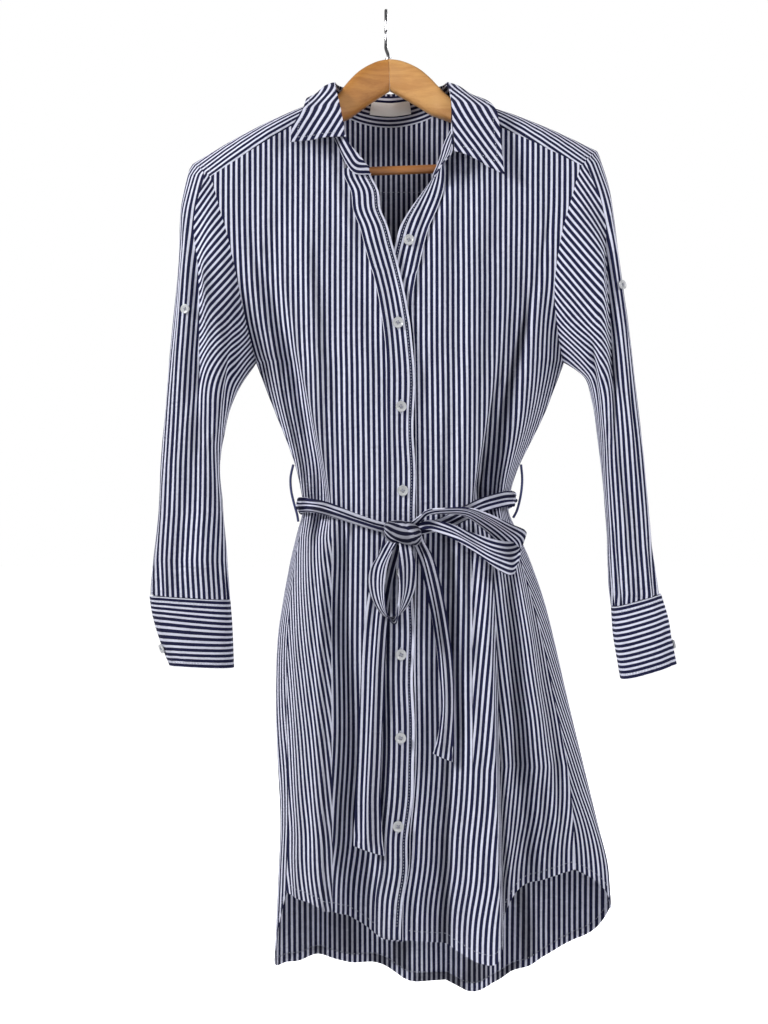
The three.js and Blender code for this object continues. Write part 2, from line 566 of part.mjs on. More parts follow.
// A closed wall from a grid of points on its middle surface. A ring grid joins its last column to its first.
function wallGeometry(grid, thickness, ring = false) {
  const rows = grid.length;
  const cols = grid[0].length;
  const at = (r, c) =>
    grid[Math.min(rows - 1, Math.max(0, r))][
      ring ? (c + cols) % cols : Math.min(cols - 1, Math.max(0, c))
    ];
  const positions = [];
  for (const side of [0.5, -0.5])
    for (let r = 0; r < rows; r += 1)
      for (let c = 0; c < cols; c += 1) {
        const down = at(r + 1, c).clone().sub(at(r - 1, c));
        const across = at(r, c + 1).clone().sub(at(r, c - 1));
        const normal = across.cross(down).normalize();
        const p = at(r, c).clone().addScaledVector(normal, side * thickness);
        positions.push(p.x, p.y, p.z);
      }
  const index = [];
  const quad = (a, b, c, d) => index.push(a, b, c, a, c, d);
  const id = (layer, r, c) => layer * rows * cols + r * cols + (ring ? c % cols : c);
  const spans = ring ? cols : cols - 1;
  for (let r = 0; r < rows - 1; r += 1)
    for (let c = 0; c < spans; c += 1) {
      quad(id(0, r, c), id(0, r, c + 1), id(0, r + 1, c + 1), id(0, r + 1, c));
      quad(id(1, r, c), id(1, r + 1, c), id(1, r + 1, c + 1), id(1, r, c + 1));
    }
  for (let c = 0; c < spans; c += 1) {
    quad(id(0, 0, c), id(1, 0, c), id(1, 0, c + 1), id(0, 0, c + 1));
    quad(id(0, rows - 1, c), id(0, rows - 1, c + 1), id(1, rows - 1, c + 1), id(1, rows - 1, c));
  }
  if (!ring)
    for (let r = 0; r < rows - 1; r += 1) {
      quad(id(0, r, 0), id(0, r + 1, 0), id(1, r + 1, 0), id(1, r, 0));
      quad(id(0, r, cols - 1), id(1, r, cols - 1), id(1, r + 1, cols - 1), id(0, r + 1, cols - 1));
    }
  const geometry = new THREE.BufferGeometry();
  geometry.setAttribute("position", new THREE.Float32BufferAttribute(positions, 3));
  geometry.setIndex(facingOut(positions, index));
  geometry.computeVertexNormals();
  return geometry;
}

// Turns every triangle round where the shape came out inside out.
function facingOut(positions, index) {
  const p = (i) => vector(...positions.slice(3 * i, 3 * i + 3));
  let volume = 0;
  for (let i = 0; i < index.length; i += 3)
    volume += p(index[i]).dot(p(index[i + 1]).cross(p(index[i + 2])));
  if (volume >= 0) return index;
  const turned = [];
  for (let i = 0; i < index.length; i += 3) turned.push(index[i], index[i + 2], index[i + 1]);
  return turned;
}

const material = (color, roughness = 0.85, metalness = 0) =>
  new THREE.MeshStandardMaterial({ color, roughness, metalness });
const clothMaterial = material(CLOTH, 0.9);
const navyMaterial = material(NAVY, 0.9);
const woodMaterial = material(WOOD, 0.45);
const wireMaterial = material(0xb8bcc2, 0.25, 1);
const buttonMaterial = material(0xf1efec, 0.3);
const labelMaterial = material(0xf4f1ee, 0.9);

const dress = new THREE.Group();
function add(name, geometry, finish) {
  const mesh = new THREE.Mesh(geometry, finish);
  mesh.name = name;
  dress.add(mesh);
  return mesh;
}

const grid = (rows, cols, pointAt) =>
  Array.from({ length: rows + 1 }, (_, r) =>
    Array.from({ length: cols + 1 }, (_, c) => pointAt(c / cols, r / rows)),
  );
const ringGrid = (rows, cols, pointAt) =>
  Array.from({ length: rows + 1 }, (_, r) =>
    Array.from({ length: cols }, (_, c) => pointAt((c / cols) * 2 * Math.PI, r / rows)),
  );

// Front panels. "upper" is the viewer's left panel, whose band lies on top.
const FRONTS = {
  upper: { armhole: ARMHOLE_LEFT, seam: "leftSeam", hem: HEM_UPPER, neckZ: -117, depth: 0 },
  lower: { armhole: ARMHOLE_RIGHT, seam: "rightSeam", hem: HEM_LOWER, neckZ: -117, depth: UNDERLAP - 0.6 },
};
const ARM_SHARE = 0.3; // share of a front panel's rows that lie above the underarm

const bandSeamX = (band, z) => {
  const lowest = BAND_SEAM[BAND_SEAM.length - 1].z;
  if (z > lowest) return column(BAND_SEAM, band, z);
  const sign = band === "upper" ? -1 : 1;
  return column(OPENING, band, z) + sign * PLACKET_WIDTH;
};

const CHEST = { low: -46, high: -33 }; // how far forward the fronts stand above the underarm
const chestY = (z) =>
  z < UNDERARM_Z ? column(BODY, "frontY", z) : lerp(CHEST.low, CHEST.high, smooth(z, -330, -120));

function pushed(point, folds, mask, direction) {
  const { push, slide } = foldsAt(folds, point.x, point.z);
  return vector(point.x + slide * mask, point.y + direction * push * mask, point.z);
}

function frontPoint(band, across, down) {
  const panel = FRONTS[band];
  let point;
  if (down < ARM_SHARE) {
    const share = down / ARM_SHARE;
    const left = onArmhole(panel.armhole, lerp(FRONT_CORNER, UNDERARM, share));
    const edgeZ = lerp(panel.neckZ, UNDERARM_Z, share);
    const edge = vector(bandSeamX(band, edgeZ), chestY(edgeZ) + panel.depth, edgeZ);
    const roundness = lerp(1, 2.4, share);
    point = left.clone().lerp(edge, across);
    const bulge = 5 * Math.sin(Math.PI * across) * (1 - share);
    point.y = lerp(left.y, edge.y, 1 - (1 - across) ** roundness) - bulge;
  } else {
    const share = (down - ARM_SHARE) / (1 - ARM_SHARE);
    const z = lerp(UNDERARM_Z, column(panel.hem, "z", across, "at"), share);
    const side = column(BODY, panel.seam, z);
    const sideY = column(BODY, "seamY", z);
    const edgeY = chestY(z) + panel.depth;
    const rounded = 1 - (1 - across) ** 2.4;
    point = vector(lerp(side, bandSeamX(band, z), across), lerp(sideY, edgeY, rounded), z);
  }
  return pushed(point, FRONT_FOLDS, smooth(across, 0, 0.12), -1);
}

// A button band, from its seam (0) to its free edge (1).
function bandPoint(band, across, down) {
  const neckSeamZ = band === "upper" ? -186 : -170;
  const neckEdgeZ = band === "upper" ? -188 : -196;
  const hemZ = band === "upper" ? -999 : -1002;
  const seamZ = lerp(neckSeamZ, hemZ, down);
  const edgeZ = lerp(neckEdgeZ, hemZ, down);
  const x = lerp(bandSeamX(band, seamZ), column(OPENING, band, edgeZ), across);
  const z = lerp(seamZ, edgeZ, across);
  const raised = -PLACKET_RAISE * smooth(across, 0, 0.3);
  const depth = band === "upper" ? raised : UNDERLAP * smooth(across, 0, 0.2);
  return pushed(vector(x, chestY(z) + depth, z), FRONT_FOLDS, 1, -1);
}

// How far forward the finished front reaches near a place, for what lies on it.
function frontY(x, z) {
  const left = column(BODY, "leftSeam", z);
  const right = column(BODY, "rightSeam", z);
  const middle = column(OPENING, "upper", z) - PLACKET_WIDTH / 2;
  const side = x < middle ? left : right;
  const across = THREE.MathUtils.clamp((x - side) / (middle - side), 0, 1);
  const base = lerp(column(BODY, "seamY", z), chestY(z), 1 - (1 - across) ** 2.4);
  return base - foldsAt(FRONT_FOLDS, x, z).push - PLACKET_RAISE;
}
function clearOfFront(x, z, reach) {
  let y = Infinity;
  for (let dx = -reach; dx <= reach; dx += reach / 2)
    for (let dz = -reach; dz <= reach; dz += reach) y = Math.min(y, frontY(x + dx, z + dz));
  return y;
}

// The back panel runs from one side seam round the back to the other, and comes a little way to the front
// below the waist.
const BACK_ARM_SHARE = 0.2;
function backPoint(across, down) {
  const inArm = down < BACK_ARM_SHARE;
  const share = inArm ? down / BACK_ARM_SHARE : (down - BACK_ARM_SHARE) / (1 - BACK_ARM_SHARE);
  const leftArm = onArmhole(ARMHOLE_LEFT, lerp(BACK_CORNER, UNDERARM, share));
  const rightArm = onArmhole(ARMHOLE_RIGHT, lerp(BACK_CORNER, UNDERARM, share));
  const z = inArm
    ? lerp(leftArm.z, rightArm.z, across) + lerp(22, 0, share) * Math.sin(Math.PI * across)
    : lerp(UNDERARM_Z, column(HEM_BACK, "z", across, "at"), share);
  const leftEdge = inArm ? leftArm.x : column(BODY, "leftEdge", z);
  const rightEdge = inArm ? rightArm.x : column(BODY, "rightEdge", z);
  const leftSeam = inArm ? leftEdge : column(BODY, "leftSeam", z);
  const rightSeam = inArm ? rightEdge : column(BODY, "rightSeam", z);
  const half = (rightEdge - leftEdge) / 2;
  const centre = (leftEdge + rightEdge) / 2;
  const sideY = inArm ? lerp(leftArm.y, rightArm.y, across) : column(BODY, "seamY", z) * 0.25;
  const depth = (inArm ? lerp(17, 16, share) : column(BODY, "backY", z)) - sideY;
  const squareness = 0.62;
  const turn = (seam, edge) =>
    Math.acos(Math.min(1, Math.abs(seam - centre) / Math.abs(edge - centre)) ** (1 / squareness));
  const start = Math.PI + turn(leftSeam, leftEdge);
  const end = -turn(rightSeam, rightEdge);
  const angle = lerp(start, end, across);
  const power = (v) => Math.sign(v) * Math.abs(v) ** squareness;
  const seamReach = column(BODY, "seamY", z) - sideY;
  const frontTurn = angle > Math.PI ? turn(leftSeam, leftEdge) : turn(rightSeam, rightEdge);
  const frontDepth = -seamReach / Math.max(0.05, Math.sin(frontTurn) ** squareness);
  const wrapped = Math.sin(angle) < 0;
  const y = sideY + (wrapped ? frontDepth : depth) * power(Math.sin(angle));
  const point = vector(centre + half * power(Math.cos(angle)), y, z);
  const mask = smooth(0.5 - Math.abs(across - 0.5), 0.06, 0.2);
  return pushed(point, BACK_FOLDS, mask, 1);
}

// The yoke is ruled from the neckline out to the armholes and the back seam.
const yokeOuter = (across) => {
  const armSpan = 0.3;
  if (across < armSpan) return onArmhole(ARMHOLE_LEFT, 1 - (across / armSpan) * 3);
  if (across > 1 - armSpan) return onArmhole(ARMHOLE_RIGHT, 1 - ((1 - across) / armSpan) * 3);
  const top = backPoint((across - armSpan) / (1 - 2 * armSpan), 0);
  return top;
};
function yokePoint(across, out) {
  const neck = alongTable(NECK, ["x", "y", "z"], lerp(...YOKE_SPAN, across));
  const outer = yokeOuter(across);
  const point = neck.lerp(outer, out);
  const middle = Math.sin(Math.PI * out);
  const ends = Math.min(across, 1 - across);
  point.z += 4 * middle * bump((ends - 0.12) / 0.14);
  point.y += 2 * middle * bump((ends - 0.5) / 0.38) - 5 * middle * bump((ends - 0.05) / 0.1);
  return point;
}

function standPoint(across, up, raised = 0) {
  const at = lerp(0, NECK.length - 1, across);
  const seam = alongTable(NECK, ["x", "y", "z"], at);
  const fold = alongTable(NECK, ["foldX", "foldY", "foldZ"], at);
  const belly = 2.5 * Math.sin(Math.PI * up);
  const height = seam.distanceTo(fold);
  const point = seam.lerp(fold, up * (1 - STAND_SHORT / height));
  const outward = vector(point.x - 5, point.y + 5, 0).normalize();
  return point.addScaledVector(outward, belly + raised);
}

function leafPoint(across, out) {
  const at = lerp(...LEAF_SPAN, across);
  const rows = NECK.slice(LEAF_SPAN[0], LEAF_SPAN[1] + 1);
  const fold = alongTable(NECK, ["foldX", "foldY", "foldZ"], at);
  const edge = alongTable(rows, ["outX", "outY", "outZ"], at - LEAF_SPAN[0]);
  const roll = 5 * Math.sin(Math.PI * Math.min(1, out * 1.4)) * (1 - out);
  const point = fold.clone().lerp(edge, out);
  const outward = edge.clone().sub(fold).setZ(0).normalize();
  point.addScaledVector(outward, roll + 1.7 * (1 - out));
  point.z += (1.2 + roll * 0.4) * (1 - out);
  return point;
}

const SLEEVE_KEYS = ["outX", "outZ", "inX", "inZ", "front", "back", "y"];
function sectionPoint(table, turn, at) {
  const [outX, outZ, inX, inZ, front, back, y] = SLEEVE_KEYS.map((key) =>
    through(table.map((row, i) => i), table.map((row) => row[key]), at * (table.length - 1)),
  );
  const c = Math.cos(turn);
  const s = Math.sin(turn);
  const power = (v) => Math.sign(v) * Math.abs(v) ** 0.8;
  return vector(
    lerp(inX, outX, (1 + power(c)) / 2),
    y - power(s) * (s > 0 ? front : back),
    lerp(inZ, outZ, (1 + power(c)) / 2),
  );
}

function sleevePoint(armhole, table, turn, down) {
  const start = onArmhole(armhole, (turn / (2 * Math.PI)) * armhole.length);
  const ring = sectionPoint(table, turn, Math.max(0, down - 0.06) / 0.94);
  const under = bump((turn - Math.PI) / 1.2);
  const away = sectionPoint(table, turn, 0).sub(start).normalize();
  start.addScaledVector(away, 1.3 + 1.4 * under);
  start.x += Math.sign(start.x) * 1.2 * under;
  const point = start.lerp(ring, smooth(down, 0, 0.16));
  const lower = Math.max(0, down - 0.06);
  const centre = sectionPoint(table, 0, lower).lerp(sectionPoint(table, Math.PI, lower), 0.5);
  const outward = point.clone().sub(centre).setZ(0).normalize();
  for (const f of SLEEVE_FOLDS) {
    const t = (down - f.topAt) / (f.footAt - f.topAt);
    const ends = smooth(t, 0, 0.25) * (1 - smooth(t, 0.75, 1));
    const middle = THREE.MathUtils.degToRad(lerp(f.topTurn, f.footTurn, THREE.MathUtils.clamp(t, 0, 1)));
    const wide = THREE.MathUtils.degToRad(f.wide);
    point.addScaledVector(outward, f.depth * ends * bump((turn - middle) / wide));
  }
  const gathers = smooth(down, 0.86, 0.97) * 0.9 * Math.cos(10 * turn);
  return point.addScaledVector(outward, gathers);
}

// A cuff is an open ring whose two ends overlap at its slit.
function cuffPoint(table, slit, across, down) {
  const overlap = THREE.MathUtils.degToRad(CUFF_OVERLAP);
  const turn = THREE.MathUtils.degToRad(slit) + lerp(-overlap, 2 * Math.PI, across);
  const point = sectionPoint(table, turn, down);
  const centre = sectionPoint(table, 0, down).lerp(sectionPoint(table, Math.PI, down), 0.5);
  const outward = point.clone().sub(centre).setZ(0).normalize();
  return point.addScaledVector(outward, lerp(3, 0.6, smooth(across, 0.095, 0.15)));
}

// A flat ribbon through the rows of a belt table, a little cupped across its width.
function ribbonPoint(table, across, along, cup, reach) {
  const at = along * (table.length - 1);
  const [x, off, z] = alongTable(table, ["x", "off", "z"], at).toArray();
  const wide = alongTable(table, ["wideX", "wideY", "wideZ"], at);
  const side = across * 2 - 1;
  const point = vector(x, clearOfFront(x, z, reach) - off, z);
  point.addScaledVector(wide, side);
  point.y -= cup * (1 - side * side);
  return point;
}

// The belt behind the body, held off the back panel's own points.
function beltBackPoint(across, along) {
  const z = column(BELT_BACK, "z", along, "at");
  const half = column(BELT_BACK, "half", along, "at");
  const place = (at) => {
    const deep = (height) => {
      const hem = column(HEM_BACK, "z", at, "at");
      return BACK_ARM_SHARE + ((1 - BACK_ARM_SHARE) * (height - UNDERARM_Z)) / (hem - UNDERARM_Z);
    };
    const points = [-1, -0.5, 0, 0.5, 1].map((side) => backPoint(at, deep(z + side * half)));
    const out = Math.max(...points.map((p) => p.y));
    const wide = Math.max(...points.map((p) => Math.abs(p.x - WAIST_X)));
    const point = points[2];
    return vector(WAIST_X + Math.sign(point.x - WAIST_X) * wide, out, point.z);
  };
  const here = place(along);
  const tangent = place(Math.min(1, along + 0.02)).sub(place(Math.max(0, along - 0.02))).setZ(0).normalize();
  const outward = vector(-tangent.y, tangent.x, 0);
  const side = across * 2 - 1;
  here.addScaledVector(outward, 4.3 + 1.6 * (1 - side * side));
  return here.setZ(z + side * half);
}

function tubeGeometry(points, radius, sides, steps, closed = false) {
  const path = new THREE.CatmullRomCurve3(points, closed);
  const section = new THREE.Shape();
  for (let i = 0; i < sides; i += 1) {
    const angle = (i / sides) * 2 * Math.PI;
    const corner = [radius * Math.cos(angle), radius * Math.sin(angle)];
    if (i) section.lineTo(...corner);
    else section.moveTo(...corner);
  }
  return new THREE.ExtrudeGeometry(section, { steps, extrudePath: path, bevelEnabled: false });
}

function buildFronts() {
  for (const band of ["upper", "lower"]) {
    const cols = band === "upper" ? 14 : 18;
    const panel = grid(26, cols, (a, d) => frontPoint(band, a, d));
    pulled(panel, { left: SIDE_PULL, right: SEAM_PULL, top: SEAM_PULL });
    add(`front_${band}`, wallGeometry(panel, WALL), clothMaterial);
    const strip = grid(26, 3, (a, d) => bandPoint(band, a, d));
    pulled(strip, { left: SEAM_PULL, top: 1 });
    add(`button_band_${band}`, wallGeometry(strip, BAND_WALL), clothMaterial);
  }
}

function buildBack() {
  const back = grid(22, 28, backPoint);
  pulled(back, { left: SIDE_PULL, right: SIDE_PULL, top: 0.9 });
  add("back", wallGeometry(back, WALL), clothMaterial);
  const yoke = grid(6, 30, yokePoint);
  pulled(yoke, { left: SEAM_PULL, right: SEAM_PULL, top: SEAM_PULL, foot: 0.9 });
  add("yoke", wallGeometry(yoke, WALL), clothMaterial);
}

function buildCollar() {
  const stand = grid(2, 34, standPoint);
  pulled(stand, { top: SEAM_PULL });
  add("collar_stand", wallGeometry(stand, WALL), clothMaterial);
  add("collar_leaf", wallGeometry(grid(4, 30, leafPoint), WALL), clothMaterial);
  const inward = -(WALL + LABEL_WALL) / 2 - SEAM_GAP - LABEL_AWAY;
  const label = grid(2, 6, (a, d) =>
    standPoint(LABEL_AT + (a - 0.5) * LABEL_SPAN, lerp(LABEL_HIGH, LABEL_LOW, d), inward),
  );
  add("neck_label", wallGeometry(label, LABEL_WALL), labelMaterial);
}

function buildSleeves() {
  const sides = [
    { name: "left", armhole: ARMHOLE_LEFT, sleeve: SLEEVE_LEFT, cuff: CUFF_LEFT, slit: CUFF_SLIT_LEFT },
    { name: "right", armhole: ARMHOLE_RIGHT, sleeve: SLEEVE_RIGHT, cuff: CUFF_RIGHT, slit: CUFF_SLIT_RIGHT },
  ];
  for (const side of sides) {
    const rings = ringGrid(14, 22, (turn, down) => sleevePoint(side.armhole, side.sleeve, turn, down));
    add(`sleeve_${side.name}`, wallGeometry(rings, WALL, true), clothMaterial);
    const cuff = grid(3, 22, (a, d) => cuffPoint(side.cuff, side.slit, a, d));
    add(`cuff_${side.name}`, wallGeometry(cuff, WALL), clothMaterial);
  }
}

// A closed solid through a row of rings, with a flat fan over each end.
function loftGeometry(rings) {
  const sides = rings[0].length;
  const positions = rings.flat().flatMap((p) => [p.x, p.y, p.z]);
  const middle = (ring) => ring.reduce((sum, p) => sum.add(p), vector(0, 0, 0)).divideScalar(sides);
  for (const ring of [rings[0], rings[rings.length - 1]]) positions.push(...middle(ring).toArray());
  const first = rings.length * sides;
  const index = [];
  for (let c = 0; c < sides; c += 1) {
    const next = (c + 1) % sides;
    for (let r = 0; r < rings.length - 1; r += 1) {
      const a = r * sides;
      const b = a + sides;
      index.push(a + c, a + next, b + next, a + c, b + next, b + c);
    }
    const last = (rings.length - 1) * sides;
    index.push(first, next, c, first + 1, last + c, last + next);
  }
  const geometry = new THREE.BufferGeometry();
  geometry.setAttribute("position", new THREE.Float32BufferAttribute(positions, 3));
  geometry.setIndex(facingOut(positions, index));
  return geometry;
}

function solidOf(geometry) {
  const plain = new THREE.BufferGeometry();
  plain.setAttribute("position", geometry.getAttribute("position").clone());
  if (geometry.index) plain.setIndex(geometry.index.clone());
  const merged = mergeVertices(plain, 1e-3);
  const mesh = new wasm.Mesh({
    numProp: 3,
    vertProperties: merged.attributes.position.array,
    triVerts: new Uint32Array(merged.index.array),
  });
  return new wasm.Manifold(mesh);
}

// One solid with others cut out of it. Only the largest piece that is left is kept.
function cutGeometry(body, ...cutters) {
  const cut = cutters.reduce((left, cutter) => left.subtract(solidOf(cutter)), solidOf(body));
  const pieces = cut.decompose().sort((a, b) => b.volume() - a.volume());
  const mesh = pieces[0].getMesh();
  const geometry = new THREE.BufferGeometry();
  geometry.setAttribute("position", new THREE.Float32BufferAttribute(mesh.vertProperties, 3));
  geometry.setIndex(Array.from(mesh.triVerts));
  return geometry;
}

function buildHanger() {
  const tilted = (p) => {
    const x = p.x * Math.cos(HANGER_TILT) - p.z * Math.sin(HANGER_TILT);
    const z = p.x * Math.sin(HANGER_TILT) + p.z * Math.cos(HANGER_TILT);
    return vector(HANGER_X + x, p.y, WOOD_TOP + z);
  };
  const corner = 0.62; // how square the wood's section is
  const section = (row, side) =>
    Array.from({ length: 12 }, (_, i) => {
      const turn = ((i + 0.5) / 12) * 2 * Math.PI;
      const power = (v) => Math.sign(v) * Math.abs(v) ** corner;
      const y = row.y + (row.thick / 2) * power(Math.cos(turn));
      const z = (row.top + row.low) / 2 + ((row.top - row.low) / 2) * power(Math.sin(turn));
      return tilted(vector(side * Math.max(row.x, SEAM_GAP / 2), y, z));
    });
  const barAt = (radius, half) =>
    tubeGeometry([tilted(vector(-half, -20, -BAR_DROP)), tilted(vector(half, -20, -BAR_DROP))], radius, 12, 1);
  for (const [name, side] of [["left", -1], ["right", 1]]) {
    const arm = loftGeometry(ARM.map((row) => section(row, side)));
    const barRoom = barAt(BAR_RADIUS + SEAM_GAP, BAR_HALF + SEAM_GAP);
    const hookRoom = hookGeometry(HOOK_WIRE / 2 + SEAM_GAP, SEAM_GAP);
    add(`hanger_arm_${name}`, cutGeometry(arm, barRoom, hookRoom), woodMaterial);
  }
  add("hanger_bar", barAt(BAR_RADIUS, BAR_HALF), woodMaterial);
  add("hanger_hook", hookGeometry(HOOK_WIRE / 2), wireMaterial);
}

function hookGeometry(radius, deeper = 0) {
  const bend = HOOK_LOOP + HOOK_WIRE / 2;
  const onBend = (degrees) => {
    const turn = THREE.MathUtils.degToRad(degrees);
    return vector(0, bend * Math.cos(turn), -HOOK_LOOP + bend * Math.sin(turn));
  };
  const foot = [
    vector(HANGER_X, 0, WOOD_TOP - 14 - deeper),
    vector(HANGER_X, 0, WOOD_TOP),
    vector(2, 3, WOOD_TOP + 7),
  ];
  const turns = [-38, -10, 20, 50, 80, 110, 140, 170, 200].map(onBend);
  return tubeGeometry([...foot, ...turns], radius, 8, 22);
}

function ribbonGeometry(table, cols, rows, cup, wall, reach) {
  return wallGeometry(grid(rows, cols, (a, d) => ribbonPoint(table, a, d, cup, reach)), wall);
}

function knotGeometry(grow) {
  const ring = (share) => {
    const turn = lerp(-1, 1, share) * Math.PI * 0.5;
    const size = Math.max(0.35, Math.cos(turn) ** 0.5);
    const x = KNOT.x + KNOT.halfWide * Math.sin(turn) + grow * Math.sign(share - 0.5);
    return Array.from({ length: 12 }, (_, i) => {
      const around = (i / 12) * 2 * Math.PI;
      const out = Math.cos(around);
      const y = KNOT.y - (KNOT.halfDeep * size + grow) * out;
      const z = KNOT.z + (KNOT.halfHigh * size + grow) * Math.sin(around) - KNOT.slant * Math.sin(turn);
      return vector(x, y, z);
    });
  };
  return loftGeometry([0, 0.18, 0.36, 0.5, 0.64, 0.82, 1].map(ring));
}

function buildBelt() {
  add("belt_knot", knotGeometry(0), clothMaterial);
  const room = knotGeometry(SEAM_GAP);
  const cut = (geometry) => cutGeometry(geometry, room);
  add("belt_left", cut(ribbonGeometry(BELT_LEFT, 3, 12, 2.2, WALL, 8)), clothMaterial);
  add("belt_right", cut(ribbonGeometry(BELT_RIGHT, 3, 12, 2.2, WALL, 8)), clothMaterial);
  add("belt_loop_right", cut(ribbonGeometry(LOOP_RIGHT, 2, 24, 1, WALL, 9)), clothMaterial);
  add("belt_loop_left", cut(ribbonGeometry(LOOP_LEFT, 2, 20, 1, WALL, 9)), clothMaterial);
  add("belt_tail_left", cut(ribbonGeometry(TAIL_LEFT, 3, 18, 2.5, WALL, 12)), clothMaterial);
  add("belt_tail_right", cut(ribbonGeometry(TAIL_RIGHT, 3, 14, 2, WALL, 10)), clothMaterial);
  const round = grid(24, 3, (across, along) => beltBackPoint(across, along));
  pulled(round, { top: 2, foot: 2 });
  add("belt_back", wallGeometry(round, WALL), clothMaterial);
  for (const [name, points] of Object.entries(KEEPERS))
    add(`keeper_${name}`, tubeGeometry(points.map((p) => vector(...p)), KEEPER_RADIUS, 6, 8), navyMaterial);
}

function buttonGeometry(radius) {
  const rim = BUTTON_THICK / 2;
  const profile = [
    [0, -rim],
    [0.8, -rim],
    [1, -rim * 0.2],
    [0.96, rim * 0.8],
    [0.82, rim],
    [0.66, rim * 0.55],
    [0, rim * 0.5],
  ].map(([r, z]) => new THREE.Vector2(r * radius, z));
  return new THREE.LatheGeometry(profile, 14);
}

function buildButtons() {
  const small = BUTTON_RADIUS * 0.87;
  const cuff = (table, slit) => (a, d) => cuffPoint(table, slit, CUFF_BUTTON.across + a, CUFF_BUTTON.down + d);
  const tab = (armhole, table, { turn, down }) => (a, d) =>
    sleevePoint(armhole, table, THREE.MathUtils.degToRad(turn) + a * Math.PI, down + d);
  sewOn("button_cuff_left", small, cuff(CUFF_LEFT, CUFF_SLIT_LEFT));
  sewOn("button_cuff_right", small, cuff(CUFF_RIGHT, CUFF_SLIT_RIGHT));
  sewOn("button_tab_left", small, tab(ARMHOLE_LEFT, SLEEVE_LEFT, TABS.left));
  sewOn("button_tab_right", small, tab(ARMHOLE_RIGHT, SLEEVE_RIGHT, TABS.right));
  FRONT_BUTTONS.forEach((button, i) => {
    const here = bandPlace(button);
    const mesh = add(`button_front_${i + 1}`, buttonGeometry(BUTTON_RADIUS), buttonMaterial);
    mesh.position.copy(here.point).addScaledVector(here.normal, (BAND_WALL + BUTTON_THICK) / 2 + SEAM_GAP);
    mesh.quaternion.setFromUnitVectors(vector(0, 1, 0), here.normal);
  });
}

// A button on a sleeve or a cuff.
function sewOn(name, radius, at) {
  const reach = 0.02;
  const across = at(reach, 0).sub(at(-reach, 0));
  const down = at(0, reach).sub(at(0, -reach));
  const normal = across.cross(down).normalize();
  if (normal.x * at(0, 0).x < 0) normal.negate();
  const mesh = add(name, buttonGeometry(radius), buttonMaterial);
  mesh.position.copy(at(0, 0)).addScaledVector(normal, (WALL + BUTTON_THICK) / 2 + SEAM_GAP + 0.3);
  mesh.quaternion.setFromUnitVectors(vector(0, 1, 0), normal);
}

// Where a button sits on its band, with the band's own facing there.
function bandPlace({ x, z, band }) {
  const at = (dx, dz) => {
    const seam = bandSeamX(band, z + dz);
    const across = (x + dx - seam) / (column(OPENING, band, z + dz) - seam);
    const down = (z + dz + 186) / (186 - 999);
    return bandPoint(band, across, down);
  };
  const reach = 5;
  const across = at(reach, 0).sub(at(-reach, 0));
  const down = at(0, -reach).sub(at(0, reach));
  const normal = across.cross(down).normalize();
  if (normal.y > 0) normal.negate();
  return { point: at(0, 0), normal };
}

dress.name = "shirt_dress";
buildHanger();
buildFronts();
buildBack();
buildCollar();
buildSleeves();
buildBelt();
buildButtons();

export default dress;
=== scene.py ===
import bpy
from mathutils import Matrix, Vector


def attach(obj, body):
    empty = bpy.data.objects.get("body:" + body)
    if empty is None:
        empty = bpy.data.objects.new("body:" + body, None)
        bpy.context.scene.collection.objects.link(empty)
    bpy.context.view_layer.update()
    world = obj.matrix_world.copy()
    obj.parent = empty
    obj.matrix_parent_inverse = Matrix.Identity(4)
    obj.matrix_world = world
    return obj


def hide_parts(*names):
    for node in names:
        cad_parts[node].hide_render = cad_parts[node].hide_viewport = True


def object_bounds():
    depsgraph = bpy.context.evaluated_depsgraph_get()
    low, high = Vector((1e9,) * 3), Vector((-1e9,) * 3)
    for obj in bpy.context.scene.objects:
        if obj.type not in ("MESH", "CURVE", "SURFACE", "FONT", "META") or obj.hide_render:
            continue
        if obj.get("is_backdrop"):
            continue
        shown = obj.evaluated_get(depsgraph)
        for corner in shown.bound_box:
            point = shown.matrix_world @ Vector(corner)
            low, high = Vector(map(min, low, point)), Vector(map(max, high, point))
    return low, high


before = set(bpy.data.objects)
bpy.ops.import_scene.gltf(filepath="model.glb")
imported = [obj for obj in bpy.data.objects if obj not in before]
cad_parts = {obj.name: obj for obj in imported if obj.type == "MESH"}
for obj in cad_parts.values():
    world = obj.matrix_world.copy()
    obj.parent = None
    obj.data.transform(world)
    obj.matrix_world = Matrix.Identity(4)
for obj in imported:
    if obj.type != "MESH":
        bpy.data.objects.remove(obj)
low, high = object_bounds()

import math
import bpy
import numpy as np
from mathutils import Matrix, Vector

# A striped cotton shirt dress on a wooden hanger. Tables and helpers work in millimetres,
# and a mesh is made in metres. "left" and "right" are the viewer's.
stripePitch = 5.7      # from one navy stripe to the next
clothThick = 0.7
mm = 0.001
pi = math.pi


def asColumns(names, rows):
    data = np.array(rows, float)
    return {name: data[:, i] for i, name in enumerate(names.split())}


